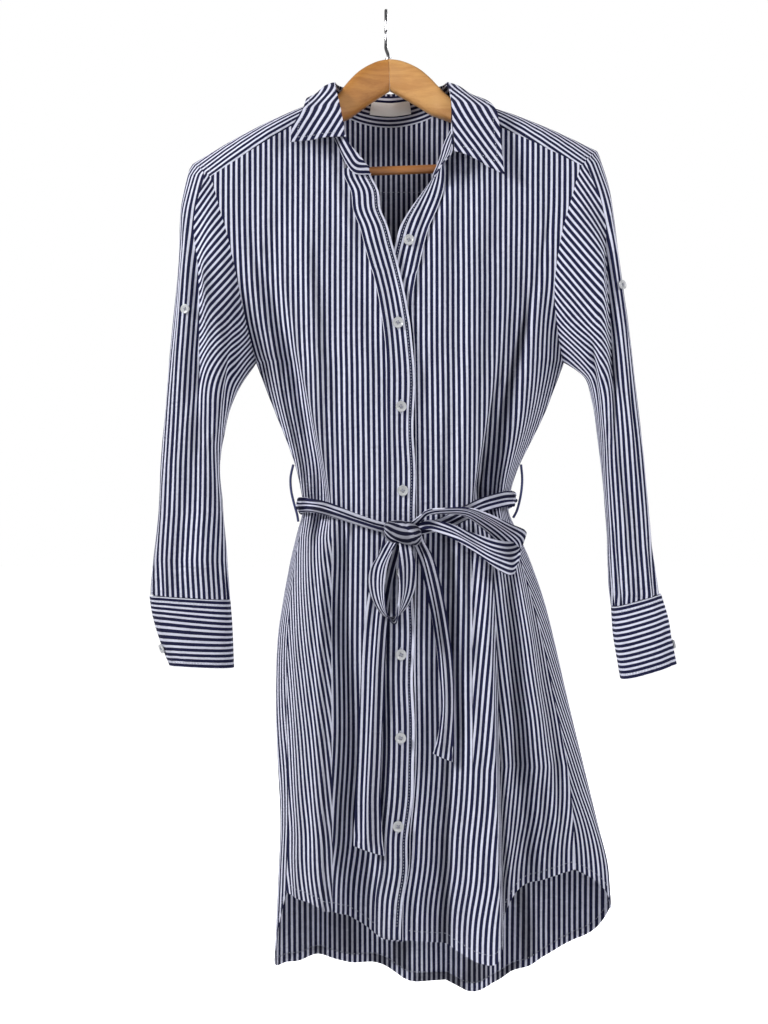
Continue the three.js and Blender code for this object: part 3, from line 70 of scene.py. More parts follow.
# Side seams and silhouettes of the body, and how far the front and the back stand out.
bodyShape = asColumns("z leftSeam leftEdge rightSeam rightEdge seamY frontY backY", [
    (-383, -142, -143, 195, 196, 0, -46, 16), (-412, -131, -132, 184, 185, -3, -46, 18),
    (-440, -120, -121, 173, 174, -5, -45, 20), (-467, -109, -110, 160, 161, -6, -44, 21),
    (-495, -99, -100, 146, 147, -7, -43, 21), (-520, -93, -94, 137, 138, -7, -42, 20),
    (-545, -89, -91, 132, 134, -8, -42, 20), (-570, -93, -97, 139, 144, -12, -42, 21),
    (-600, -98, -104, 146, 157, -17, -43, 24), (-643, -103, -112, 158, 172, -22, -44, 28),
    (-686, -106, -118, 169, 183, -24, -44, 32), (-752, -107, -120, 182, 198, -26, -43, 36),
    (-818, -106, -118, 195, 214, -27, -42, 40), (-884, -105, -115, 202, 230, -27, -41, 43),
    (-940, -107, -117, 203, 243, -26, -40, 45), (-1090, -108, -124, 203, 248, -25, -40, 46),
])
# Free edges of the two button bands.
opening = asColumns("z upper lower", [
    (-170, -20, 58), (-188, -16, 51), (-205, -8, 39), (-225, -6, 25), (-243, 1, 15),
    (-262, 6, 10), (-290, 14, 4), (-324, 22, -1), (-374, 28.6, 1.6), (-427, 29.6, 2.6),
    (-545, 30.7, 3.7), (-700, 29, 2), (-800, 30.5, 3.5), (-845, 28.6, 1.6), (-890, 25, -2),
    (-925, 24, -3), (-965, 18, -9), (-1100, 20, -7),
])
# Where the bands are sewn on, along the neck opening.
neckSeam = asColumns("z upper lower", [
    (-117, -71, 81), (-132, -62.3, 73), (-156, -51, 64), (-174, -45.5, 62.5), (-188, -45, 63),
    (-205, -37.5, 61), (-225, -35.5, 54), (-243, -28.5, 46), (-262, -23.5, 40.5), (-290, -15.5, 34),
])
# Hem heights from the side seam (0) to the button band (1), and for the back from side to side.
hemUpper = asColumns("at z", [
    (0, -958), (0.3, -962), (0.45, -970), (0.6, -979), (0.8, -990), (1, -999),
])
hemLower = asColumns("at z", [
    (0, -933), (0.2, -944), (0.34, -958), (0.43, -986), (0.5, -1014), (0.6, -1019), (0.75, -1013),
    (0.9, -1006), (1, -1002),
])
hemBack = asColumns("at z", [
    (0, -958), (0.06, -1004), (0.115, -1044), (0.22, -1052), (0.327, -1056), (0.394, -1062),
    (0.43, -1073), (0.464, -1089), (0.5, -1086), (0.52, -1074), (0.568, -1052), (0.62, -1034),
    (0.69, -1018), (0.756, -997), (0.82, -977), (0.9, -954), (1, -933),
])
# Main folds, as in the solids: a start and a foot, half widths and depths.
foldNames = "topZ topX footZ footX topWide footWide top foot lean skew fade"
frontFolds = asColumns(foldNames, [
    (-300, -122, -535, -73, 18, 15, -6, -18, 0.2, 0, 70),
    (-270, -78, -560, -60, 26, 17, 4, 11, 0.1, 0, 90),
    (-260, 92, -560, 79, 24, 18, 4, 10, -0.1, 0, 80),
    (-320, 143, -520, 106, 20, 14, -5, -20, -0.2, 0, 70),
    (-420, 155, -550, 122, 16, 12, 4, 8, 0, 0, 60),
    (-590, -70, -1010, -72, 20, 30, 9, 28, 0.2, 0.5, 60),
    (-610, -42, -1010, -32, 18, 28, -6, -20, 0, -0.3, 70),
    (-720, 16, -1010, 10, 30, 30, 2, 12, -0.2, 0, 60),
    (-600, 108, -1020, 114, 20, 32, 9, 42, 0.1, 0.5, 60),
    (-640, 56, -1020, 58, 20, 24, -4, -8, 0, 0, 60),
    (-590, 144, -810, 164, 13, 22, 6, 9, 0.2, 0.2, 50),
    (-600, 130, -800, 142, 12, 16, -6, -8, 0, -0.2, 60),
    (-850, 148, -1020, 152, 34, 44, -8, -16, 0, 0, 80),
])
backFolds = asColumns(foldNames, [
    (-300, -80, -540, -48, 34, 16, 5, 10, 0, 0, 80), (-300, 120, -540, 88, 34, 16, 5, 10, 0, 0, 80),
    (-400, 22, -545, 20, 30, 18, -3, -8, 0, 0, 80), (-590, -56, -1100, -74, 18, 32, 8, 22, -0.2, 0, 50),
    (-590, -10, -1100, -8, 17, 34, 9, 16, 0.1, 0, 50), (-600, 38, -1100, 62, 18, 34, 9, 24, 0.1, 0, 50),
    (-590, 86, -1100, 138, 18, 34, 8, 18, 0.2, 0, 50), (-640, 62, -1100, 100, 16, 26, -3, -9, 0, 0, 60),
])
# Smaller creases, seen close up. None is like its neighbour.
frontCreases = asColumns(foldNames, [
    (-138, -90, -212, -86, 12, 9, 2.6, 1.2, 0, 0.6, 26),     # step beside the left collar point
    (-158, -47, -286, -17, 5, 6, -2.4, -1.6, 0, 0, 22),      # beside the left neck edge
    (-170, -58, -268, -30, 8, 8, 1.8, 1.4, 0.2, 0.3, 24),
    (-246, -29, -304, -11, 5, 4, 1.6, 1, 0, 0.2, 14),
    (-279, -79, -378, -69, 8, 10, 2.2, 2, 0.1, 0.2, 34),
    (-268, -140, -402, -102, 8, 10, -3.2, -4, 0, 0, 40),     # drag from the left armhole
    (-372, -104, -540, -63, 10, 13, -3, -8, 0.1, 0.2, 60),
    (-420, -86, -528, -82, 7, 7, 2.6, 3.4, 0.2, 0, 40),
    (-470, -46, -560, -40, 7, 5, 1.6, 2.6, 0, 0.1, 30),
    (-492, -24, -572, -19, 6, 5, 1, 2, 0, 0, 26),
    (-157, 75, -264, 41, 7, 6, -2.6, -1.8, 0, 0, 26),        # under the right collar point
    (-164, 86, -258, 52, 8, 8, 2, 1.4, -0.2, 0, 26),
    (-232, 38, -322, 30, 5, 6, -1.5, -1.2, 0, 0, 26),
    (-268, 80, -300, 76, 9, 8, 1.3, 0.9, 0, 0.2, 14),
    (-236, 174, -372, 147, 8, 9, -3.4, -4, 0, 0, 40),        # drag from the right armhole
    (-338, 150, -532, 110, 9, 13, -4, -9, -0.1, -0.2, 60),
    (-318, 164, -440, 143, 9, 10, 2.4, 2.4, -0.2, 0, 40),
    (-400, 86, -548, 74, 7, 7, 1.8, 2.8, 0, -0.2, 40),
    (-452, 58, -560, 52, 6, 5, 1.2, 2.4, 0, 0, 30),
    (-558, -80, -650, -84, 6, 9, 3, 1.2, 0.2, 0, 30),        # gathers under the belt
    (-560, -58, -668, -60, 5, 8, -2.6, -1.6, 0, 0, 30),
    (-562, -40, -640, -40, 5, 7, 2.4, 0.8, 0, 0, 26),
    (-572, -20, -660, -24, 5, 6, -1.6, -1, 0, 0, 26),
    (-570, 46, -672, 45, 5, 8, 2.2, 1.2, 0, 0, 26),
    (-566, 62, -700, 62, 5, 7, -2.6, -1.4, 0, 0, 26),
    (-562, 96, -650, 98, 5, 7, 2.6, 1.2, 0, 0.2, 26),
    (-560, 121, -640, 128, 5, 7, -3, -1.6, 0, 0, 26),
    (-640, -76, -880, -84, 5, 7, -2.6, -2, 0, 0, 60),        # within the left cone
    (-596, -62, -1000, -62, 6, 9, 3, 4.5, 0.4, -0.5, 50),    # its sharp edge, and the deep hollow beside it
    (-600, -44, -1000, -43, 10, 15, -7, -9, 0, 0.3, 60),
    (-590, 27, -900, 24, 7, 9, -3, -4, 0, 0, 50),            # beside the button band
    (-600, 71, -1000, 66, 7, 11, -4.5, -6, 0, 0.3, 60),      # each side of the bright ridge
    (-604, 109, -940, 121, 7, 10, -4, -5, 0, -0.3, 60),
    (-386, -96, -560, -70, 6, 7, 3, 5, 0.3, 0, 50),          # bunched cloth above the left of the belt
    (-410, -112, -556, -78, 5, 5, -3, -5, 0, 0, 50),
    (-440, -64, -560, -54, 5, 6, -2.6, -4.5, 0, 0, 40),
    (-396, 132, -556, 106, 6, 7, 3, 5, -0.3, 0, 50),
    (-420, 118, -560, 92, 5, 6, -3, -5, 0, 0, 50),
    (-690, -96, -960, -98, 8, 12, 2, 3, -0.2, 0, 60),
    (-616, 80, -1010, 92, 6, 8, 3.6, 3, 0.1, 0.2, 50),       # narrow bright ridge
    (-640, 94, -960, 104, 4, 5, -2.4, -2, 0, 0, 50),
    (-610, 160, -850, 190, 6, 9, -3.4, -2.6, 0, 0, 50),      # pocket crumple
    (-640, 170, -720, 178, 5, 6, 2, 1.6, 0, 0, 26),
    (-760, 150, -960, 168, 10, 14, 3, 4.5, 0.2, 0, 60),
    (-820, 184, -960, 196, 8, 12, -3, -3.6, 0, 0, 50),
    (-700, 30, -1000, 34, 6, 8, 1.8, 2.6, 0, 0, 60),
    (-780, -6, -990, -10, 7, 9, -1.8, -2.6, 0, 0, 60),
])
backCreases = asColumns(foldNames, [
    (-250, -110, -400, -70, 10, 9, 2, 2.6, 0, 0, 40),
    (-240, 150, -390, 110, 10, 9, 2, 2.6, 0, 0, 40),
    (-420, -52, -550, -46, 7, 6, -2.4, -4, 0, 0, 40),
    (-440, -8, -552, -4, 7, 5, 1.8, 3.2, 0, 0, 40),
    (-430, 46, -552, 42, 7, 6, -1.8, -3.4, 0, 0, 40),
    (-440, 92, -548, 82, 7, 6, 2, 3.4, 0, 0, 40),
    (-562, -72, -680, -80, 6, 9, -2.8, -1.6, 0, 0, 30),
    (-562, -34, -720, -38, 5, 8, 2.8, 1.8, 0, 0, 30),
    (-562, 14, -690, 16, 5, 8, -2.6, -1.4, 0, 0, 30),
    (-562, 60, -740, 72, 6, 9, 2.8, 1.8, 0, 0, 30),
    (-562, 104, -700, 118, 6, 9, -3, -1.8, 0, 0, 30),
    (-700, -48, -1040, -60, 12, 15, -2.4, -3.6, 0, 0, 60),
    (-720, 24, -1060, 34, 12, 15, 2.2, 3.4, 0, 0, 60),
    (-730, 120, -1050, 164, 13, 17, -2.4, -3.2, 0, 0, 60),
])
armholeLeft = asColumns("x y z", [
    (-209, -22, -172), (-188, -38, -190), (-178, -41, -222), (-167, -38, -262), (-158, -31, -308),
    (-150, -17, -350), (-142, 0, -383), (-148, 9, -350), (-158, 13, -308), (-172, 12, -262),
    (-188, 6, -222), (-202, -6, -186),
])
armholeRight = asColumns("x y z", [
    (228, -22, -158), (209, -38, -178), (198, -41, -212), (187, -38, -254), (181, -31, -304), (186, -17, -348),
    (195, 0, -383), (196, 9, -348), (196, 13, -302), (200, 12, -254), (210, 6, -210), (222, -6, -172),
])
# The neckline seam, the collar's fold and its outer edge, row by row round the neck.
neckline = asColumns("x y z foldX foldY foldZ outX outY outZ", [
    (-16, -42, -188, -18, -44, -180, 0, 0, 0), (-33, -41, -187, -25, -46, -170, 0, 0, 0),
    (-43, -38.5, -174, -32, -47, -162, 0, 0, 0), (-51, -35.5, -156, -41, -47, -151, -101, -52, -157),
    (-62, -31, -133, -44, -44, -134, -99, -49, -140), (-71, -26, -115, -48, -34, -112, -89, -39, -118),
    (-72, -13, -99, -54, -12, -82, -84, -14, -98), (-63, 9, -100, -49, 11, -77, -72, 22, -110),
    (-30, 18, -114, -24, 24, -78, -42, 34, -123), (5, 22, -118, 5, 28, -79, 5, 38, -128),
    (40, 18, -113, 34, 24, -77, 52, 34, -122), (73, 9, -99, 59, 11, -77, 83, 22, -109),
    (82, -13, -97, 66, -12, -82, 98, -14, -98), (81, -26, -114, 68, -36, -110, 117, -39, -118),
    (73, -31, -132, 69, -47, -138, 121, -49, -153), (63, -35.5, -152, 70, -53, -168, 125, -52, -191),
    (57, -38.5, -172, 61, -52, -179, 0, 0, 0), (49, -42, -192, 51, -49, -192, 0, 0, 0),
])
# Sections of the sleeves and the cuffs: outer and inner edge, and the depth before and behind y.
sectionNames = "outX outZ inX inZ front back y"
sleeveLeft = asColumns(sectionNames, [
    (-219, -185, -149, -394, 32, 18, -12), (-223, -221, -158, -408, 29, 20, -10),
    (-225, -265, -166, -424, 27, 20, -9), (-229, -315, -174, -447, 25, 20, -8),
    (-235, -375, -180, -480, 24, 20, -8), (-240, -435, -182, -505, 23, 19, -8),
    (-245, -495, -179, -538, 21, 18, -9), (-248, -550, -175, -580, 20, 17, -10),
    (-253, -600, -173, -614, 18, 16, -11), (-254, -638, -171, -643, 14, 12, -12),
])
sleeveRight = asColumns(sectionNames, [
    (238, -172, 208, -392, 32, 18, -12), (244, -205, 218, -402, 29, 22, -10),
    (250, -249, 224, -417, 28, 24, -9), (257, -299, 229, -441, 27, 24, -8),
    (264, -349, 233, -472, 27, 24, -8), (271, -408, 237, -504, 26, 24, -8),
    (278, -467, 240, -540, 25, 23, -9), (284, -532, 242, -575, 24, 22, -10),
    (289, -586, 243, -615, 23, 21, -11), (295, -636, 247, -650, 20, 18, -12),
])
# Folds and fine creases of the sleeves: a start and a foot as shares of the length, turns in degrees, depth.
turnedNames = "topAt topTurn footAt footTurn wide depth"
sleeveFolds = asColumns(turnedNames, [
    (0.04, 60, 0.6, 108, 24, -8), (0.08, 98, 0.5, 142, 26, 4), (0.45, 118, 0.95, 86, 26, -4),
    (0.15, 250, 0.7, 268, 34, -5), (0.5, 300, 0.96, 290, 28, 3),
])
sleeveCreases = asColumns(turnedNames, [
    (0.1, 84, 0.3, 96, 10, 2.2), (0.12, 128, 0.34, 150, 12, -2.6), (0.2, 40, 0.52, 52, 10, 1.8),
    (0.34, 96, 0.6, 76, 9, -2.2), (0.42, 140, 0.62, 112, 10, 2.4), (0.5, 58, 0.8, 64, 8, -1.8),
    (0.58, 120, 0.86, 104, 9, 2.2), (0.66, 34, 0.92, 40, 8, 1.6), (0.7, 84, 0.97, 78, 7, -2.4),
    (0.74, 146, 0.97, 136, 9, -2), (0.3, 220, 0.7, 236, 14, 2.4), (0.5, 286, 0.94, 270, 12, -2.6),
    (0.68, 318, 0.97, 326, 9, 2),
])
cuffLeft = asColumns(sectionNames, [
    (-254, -638.8, -171, -643.8, 14, 12, -12), (-250, -662, -169, -670, 16, 14, -12),
    (-241, -691, -168, -694, 17, 14, -12), (-232, -714, -167, -717, 16, 15, -12),
])
cuffRight = asColumns(sectionNames, [
    (295.5, -636.8, 247, -650.8, 20, 18, -12), (303, -663, 249, -680, 22, 20, -12),
    (307, -688, 253, -705, 22, 20, -12), (312, -712, 257, -729, 21, 20, -12),
])


def lerp(a, b, t):
    return a + (b - a) * t


def smooth(x, lo, hi):
    t = np.clip((np.asarray(x, float) - lo) / (hi - lo), 0, 1)
    return t * t * (3 - 2 * t)


def through(knots, values, at):  # a smooth curve through the rows of a table
    knots, values, at = (np.asarray(a, float) for a in (knots, values, at))
    if knots[-1] < knots[0]:
        knots, at = -knots, -at
    n = np.arange(len(knots))
    before, after = np.maximum(n - 1, 0), np.minimum(n + 1, len(knots) - 1)
    slope = (values[after] - values[before]) / (knots[after] - knots[before])
    i = np.clip(np.searchsorted(knots, at, side="right") - 1, 0, len(knots) - 2)
    h = knots[i + 1] - knots[i]
    t = np.clip((at - knots[i]) / h, 0, 1)
    t2, t3 = t * t, t * t * t
    return (values[i] * (2 * t3 - 3 * t2 + 1) + slope[i] * h * (t3 - 2 * t2 + t)
            + values[i + 1] * (3 * t2 - 2 * t3) + slope[i + 1] * h * (t3 - t2))


def column(table, key, at, knot="z"):
    return through(table[knot], table[key], at)


def alongTable(table, keys, at):
    rows = np.arange(len(table[keys[0]]))
    return np.stack([through(rows, table[k], at) for k in keys], -1)


def onArmhole(table, at):  # a closed curve, counted by point number
    ring = {k: np.concatenate([v[-1:], v, v[:2]]) for k, v in table.items()}
    return alongTable(ring, ["x", "y", "z"], np.mod(at, len(table["x"])) + 1)


def bump(t):
    return np.where(np.abs(t) < 1, np.cos(pi / 2 * np.clip(t, -1, 1)) ** 2, 0)


def vec(x, y, z):
    return np.stack(np.broadcast_arrays(*(np.asarray(a, float) for a in (x, y, z))), -1)


def unit(v):
    return v / np.maximum(np.linalg.norm(v, axis=-1, keepdims=True), 1e-9)


def foldsAt(table, x, z):  # how far the folds push the cloth out, and sideways
    push, slide = np.zeros(np.shape(x)), np.zeros(np.shape(x))
    for topZ, topX, footZ, footX, topWide, footWide, top, foot, lean, skew, fade in zip(
            *table.values()):
        ends = smooth(topZ + fade - z, 0, fade) * smooth(z - (footZ - fade), 0, fade)
        t = np.clip((z - topZ) / (footZ - topZ), 0, 1)
        beside = x - lerp(topX, footX, t)
        reach = lerp(topWide, footWide, t) * (1 - np.sign(beside) * skew)
        height = lerp(top, foot, t) * bump(beside / reach) * ends
        push += height
        slide += lean * np.abs(height)
    return push, slide


def ripple(a, b, seed, size=34, tall=2.4):  # low, uneven rumples, longer down than across
    pick = np.random.default_rng(seed)
    total = 0
    for _ in range(14):
        length = size * pick.uniform(0.55, 1.9)
        turn = pick.uniform(-0.55, 0.55)
        wave = 2 * pi / length
        total = total + pick.uniform(0.4, 1) * np.sin(
            wave * (np.cos(turn) * a + np.sin(turn) * b / tall) + pick.uniform(0, 2 * pi)
            + 1.3 * np.sin(wave * 0.21 * b + pick.uniform(0, 6)))
    return total / 6


fronts = {
    "upper": dict(armhole=armholeLeft, seam="leftSeam", hem=hemUpper, depth=0.0, side=-1,
                  restsOn="hanger_arm_left"),
    "lower": dict(armhole=armholeRight, seam="rightSeam", hem=hemLower, depth=2.4, side=1,
                  restsOn="hanger_arm_right"),
}
body = dict(underarmZ=-383, neckZ=-117, armShare=0.3, backArmShare=0.2, bandWide=29, bandRaise=1.4,
            underlap=3, squareness=0.62, rumple=1.2, chestRound=2.4, yokeRise=22, tuckIn=2.2,
            buttonZ=-347, buttonStep=89, middle=21)


def bandSeamX(band, z):
    side = fronts[band]["side"]
    low = neckSeam["z"][-1]
    straight = column(opening, band, z) + side * body["bandWide"]
    return np.where(z > low, column(neckSeam, band, np.maximum(z, low)), straight)


def chestY(z):
    chest = lerp(-46, -33, smooth(z, -330, -120))
    return np.where(z < body["underarmZ"], column(bodyShape, "frontY", z), chest)


def pushed(point, table, creases, mask, direction, seed):
    x, z = point[..., 0], point[..., 2]
    push, slide = foldsAt(table, x, z)
    small, aside = foldsAt(creases, x, z)
    lumps = body["rumple"] * ripple(x, z, seed) + 0.42 * ripple(x, z, seed + 1, 15, 1.1)
    out = point.copy()
    out[..., 0] += (slide + aside) * mask
    out[..., 1] += direction * (push + small + lumps) * mask
    return out


def frontPoint(band, across, down):
    panel = fronts[band]
    share = np.clip(down / body["armShare"], 0, 1)
    arm = onArmhole(panel["armhole"], lerp(1, 6, share))
    edgeZ = lerp(body["neckZ"], body["underarmZ"], share)
    edge = vec(bandSeamX(band, edgeZ), chestY(edgeZ) + panel["depth"], edgeZ)
    high = lerp(arm, edge, across[..., None])
    bulge = 5 * np.sin(pi * across) * (1 - share) ** 2
    rounding = lerp(1, body["chestRound"], 1 - (1 - share) ** 2)
    high[..., 1] = lerp(arm[..., 1], edge[..., 1], 1 - (1 - across) ** rounding) - bulge
    share = np.clip((down - body["armShare"]) / (1 - body["armShare"]), 0, 1)
    z = lerp(body["underarmZ"], column(panel["hem"], "z", across, "at"), share)
    rounded = 1 - (1 - across) ** body["chestRound"]
    low = vec(lerp(column(bodyShape, panel["seam"], z), bandSeamX(band, z), across),
              lerp(column(bodyShape, "seamY", z), chestY(z) + panel["depth"], rounded), z)
    point = np.where((down < body["armShare"])[..., None], high, low)
    return pushed(point, frontFolds, frontCreases, smooth(across, 0, 0.12), -1, 3)


# Heights of a band's top at its seam and at its free edge, and of its hem.
bandEnds = {"upper": (-180, -177, -999), "lower": (-168, -190, -1002)}


def bandShare(band, x, z):  # the place on a button band in front of x, z
    seam, edge = bandSeamX(band, z), column(opening, band, z)
    atSeam, atEdge, hem = bandEnds[band]
    across = (x - seam) / (edge - seam)
    top = lerp(atSeam, atEdge, across)
    return across, (z - top) / (hem - top)


def bandPoint(band, across, down):
    atSeam, atEdge, hemZ = bandEnds[band]
    seamZ, edgeZ = lerp(atSeam, hemZ, down), lerp(atEdge, hemZ, down)
    x = lerp(bandSeamX(band, seamZ), column(opening, band, edgeZ), across)
    z = lerp(seamZ, edgeZ, across)
    lift = (-body["bandRaise"] * smooth(across, 0, 0.12) if band == "upper"
            else body["underlap"] * smooth(across, 0, 0.2))
    if band == "upper":  # the free edge wanders a little between the buttons
        phase = (z - body["buttonZ"]) / body["buttonStep"] * 2 * pi
        pull = 1.2 * np.sin(phase) * smooth(-z, 330, 380) * across
        x = x + pull * 0.6 + 0.5 * np.sin(z / 23) * across
        lift = lift - 0.8 * across * (1 - np.cos(phase)) * smooth(-z, 330, 380)
    return pushed(vec(x, chestY(z) + lift, z), frontFolds, frontCreases, 1, -1, 3)


def backPoint(across, down):
    inArm = down < body["backArmShare"]
    share = np.where(inArm, down / body["backArmShare"],
                     (down - body["backArmShare"]) / (1 - body["backArmShare"]))
    armShare = np.where(inArm, share, 1)
    left = onArmhole(armholeLeft, lerp(10, 6, armShare))
    right = onArmhole(armholeRight, lerp(10, 6, armShare))
    yokeSeam = (lerp(left[..., 2], right[..., 2], across)
                + lerp(body["yokeRise"], 0, armShare) * np.sin(pi * across))
    z = np.where(inArm, yokeSeam, lerp(body["underarmZ"], column(hemBack, "z", across, "at"), share))
    pick = lambda arm, key: np.where(inArm, arm, column(bodyShape, key, z))
    leftEdge, rightEdge = pick(left[..., 0], "leftEdge"), pick(right[..., 0], "rightEdge")
    leftSeam, rightSeam = pick(left[..., 0], "leftSeam"), pick(right[..., 0], "rightSeam")
    seamY = column(bodyShape, "seamY", z)
    half, centre = (rightEdge - leftEdge) / 2, (leftEdge + rightEdge) / 2
    sideY = np.where(inArm, lerp(left[..., 1], right[..., 1], across), seamY * 0.25)
    depth = np.where(inArm, lerp(17, 16, armShare), column(bodyShape, "backY", z)) - sideY
    power = body["squareness"]
    turn = lambda seam, edge: np.arccos(
        np.minimum(1, np.abs(seam - centre) / np.abs(edge - centre)) ** (1 / power))
    leftTurn, rightTurn = turn(leftSeam, leftEdge), turn(rightSeam, rightEdge)
    angle = lerp(pi + leftTurn, -rightTurn, across)
    raised = lambda v: np.sign(v) * np.abs(v) ** power
    frontTurn = np.where(angle > pi, leftTurn, rightTurn)
    frontDepth = -(seamY - sideY) / np.maximum(0.05, np.sin(frontTurn) ** power)
    y = sideY + np.where(np.sin(angle) < 0, frontDepth, depth) * raised(np.sin(angle))
    mask = smooth(0.5 - np.abs(across - 0.5), 0.06, 0.2)
    tuck = 1 - smooth(0.5 - np.abs(across - 0.5), 0.04, 0.09)    # the seam allowance lies behind the fronts
    y = y + body["tuckIn"] * tuck * np.where(inArm, smooth(share, 0.8, 1), 1)
    return pushed(vec(centre + half * raised(np.cos(angle)), y, z), backFolds, backCreases, mask, 1, 7)


def frontY(x, z):  # how far forward the finished front reaches
    left, right = column(bodyShape, "leftSeam", z), column(bodyShape, "rightSeam", z)
    middle = column(opening, "upper", z) - body["bandWide"] / 2
    side = np.where(x < middle, left, right)
    across = np.clip((x - side) / (middle - side), 0, 1)
    base = lerp(column(bodyShape, "seamY", z), chestY(z), 1 - (1 - across) ** body["chestRound"])
    return base - foldsAt(frontFolds, x, z)[0] - foldsAt(frontCreases, x, z)[0] * 0.5 - body["bandRaise"]


def clearOfFront(x, z, reach):
    return np.min([frontY(x + a * reach, z + b * reach)
                   for a in (-1, -0.5, 0, 0.5, 1) for b in (-1, 0, 1)], 0)


def yokeOuter(across):
    arm = 0.3
    left = onArmhole(armholeLeft, 1 - np.clip(across / arm, 0, 1) * 3)
    right = onArmhole(armholeRight, 1 - np.clip((1 - across) / arm, 0, 1) * 3)
    top = backPoint(np.clip((across - arm) / (1 - 2 * arm), 0, 1), np.zeros(np.shape(across)))
    return np.where((across < arm)[..., None], left, np.where((across > 1 - arm)[..., None], right, top))


def yokePoint(across, out):
    inner = alongTable(neckline, ["x", "y", "z"], lerp(5, 13, across))
    point = lerp(inner, yokeOuter(across), out[..., None])
    middle = np.sin(pi * out)
    ends = np.minimum(across, 1 - across)
    point[..., 2] += 4 * middle * bump((ends - 0.12) / 0.14)
    point[..., 1] += 2 * middle * bump((ends - 0.5) / 0.38) - 5 * middle * bump((ends - 0.05) / 0.1)
    point[..., 1] += 0.5 * ripple(point[..., 0], point[..., 2], 11, 26, 1) * middle
    return point


def standPoint(across, up, raised=0.0):
    at = lerp(0, 17, across)
    seam = alongTable(neckline, ["x", "y", "z"], at)
    fold = alongTable(neckline, ["foldX", "foldY", "foldZ"], at)
    height = np.linalg.norm(fold - seam, axis=-1)
    point = lerp(seam, fold, (up * (1 - 2.2 / height))[..., None])
    outward = unit(vec(point[..., 0] - 5, point[..., 1] + 5, 0 * up))
    return point + outward * (2.5 * np.sin(pi * up) + raised)[..., None]


def leafPoint(across, out):
    at = lerp(3, 15, across)
    fold = alongTable(neckline, ["foldX", "foldY", "foldZ"], at)
    outer = ["outX", "outY", "outZ"]
    edge = alongTable({k: neckline[k][3:16] for k in outer}, outer, at - 3)
    roll = 5 * np.sin(pi * np.minimum(1, out * 1.4)) * (1 - out)
    outward = edge - fold
    outward[..., 2] = 0
    point = lerp(fold, edge, out[..., None]) + unit(outward) * (roll + 1.7 * (1 - out))[..., None]
    point[..., 2] += (1.2 + roll * 0.4) * (1 - out)
    tips = bump((np.minimum(across, 1 - across)) / 0.2)
    point[..., 1] += 0.8 * tips * ripple(point[..., 0], point[..., 2], 17, 30, 1) * np.sin(pi * out * 0.8)
    return point


def sectionPoint(table, turn, at):
    value = {k: through(np.arange(len(table[k])), table[k], at * (len(table[k]) - 1)) for k in table}
    power = lambda v: np.sign(v) * np.abs(v) ** 0.8
    c, s = power(np.cos(turn)), power(np.sin(turn))
    return vec(lerp(value["inX"], value["outX"], (1 + c) / 2),
               value["y"] - s * np.where(np.sin(turn) > 0, value["front"], value["back"]),
               lerp(value["inZ"], value["outZ"], (1 + c) / 2))


def awayFrom(table, turn, at, point):  # level, outwards from the middle of the section
    centre = lerp(sectionPoint(table, 0 * turn, at), sectionPoint(table, 0 * turn + pi, at), 0.5)
    outward = point - centre
    outward[..., 2] = 0
    return unit(outward)


def sleevePoint(armhole, table, turn, down):
    start = onArmhole(armhole, turn / (2 * pi) * 12)
    lower = np.maximum(0, down - 0.06)
    ring = sectionPoint(table, turn, lower / 0.94)
    point = lerp(start, ring, smooth(down, 0, 0.16)[..., None])
    push = 0
    for creases, fade in ((sleeveFolds, 0.25), (sleeveCreases, 0.3)):
        for topAt, topTurn, footAt, footTurn, wide, depth in zip(*creases.values()):
            t = (down - topAt) / (footAt - topAt)
            ends = smooth(t, 0, fade) * (1 - smooth(t, 1 - fade, 1))
            middle = np.radians(lerp(topTurn, footTurn, np.clip(t, 0, 1)))
            push = push + depth * ends * bump((turn - middle) / math.radians(wide))
    waves = 1.5 * np.cos(10 * turn + 1.4 * np.sin(2 * turn)) + 0.5 * np.cos(23 * turn)
    gathers = smooth(down, 0.84, 0.975) * waves
    seed = 23 if table is sleeveLeft else 29
    lumps = 0.7 * smooth(down, 0, 0.08) * ripple(46 * turn, 520 * down, seed, 30, 2.2)
    return point + awayFrom(table, turn, lower, point) * (push + gathers + lumps)[..., None]


def cuffPoint(table, slit, across, down):
    turn = math.radians(slit) + lerp(-math.radians(36), 2 * pi, across)
    point = sectionPoint(table, turn, down)
    rise = lerp(3, 0.6, smooth(across, 0.095, 0.15)) + 0.35 * ripple(40 * turn, 60 * down, 31, 24, 1)
    return point + awayFrom(table, turn, down, point) * rise[..., None]


print("materials")


def newMaterial(name, roughness, **sockets):
    made = bpy.data.materials.new(name)
    made.use_nodes = True
    shader = made.node_tree.nodes["Principled BSDF"]
    shader.inputs["Roughness"].default_value = roughness
    for key, value in sockets.items():
        shader.inputs[key].default_value = value
    return made, made.node_tree, shader


def feed(tree, socket, value):  # a link, or a fixed value
    if isinstance(value, bpy.types.NodeSocket):
        tree.links.new(value, socket)
    else:
        socket.default_value = value


def addNode(tree, kind, **settings):  # in_Some_Name feeds the input "Some Name"
    made = tree.nodes.new(kind)
    for key, value in settings.items():
        if key.startswith("in_"):
            feed(tree, made.inputs[key[3:].replace("_", " ")], value)
        else:
            setattr(made, key, value)
    return made


def calc(tree, operation, a, b=0.0, c=0.0):
    made = addNode(tree, "ShaderNodeMath", operation=operation)
    for i, value in enumerate((a, b, c)):
        feed(tree, made.inputs[i], value)
    return made.outputs[0]


def mixed(tree, factor, a, b, blend="MIX"):
    made = addNode(tree, "ShaderNodeMix", data_type="RGBA", blend_type=blend, in_Factor=factor, in_A=a, in_B=b)
    return made.outputs["Result"]


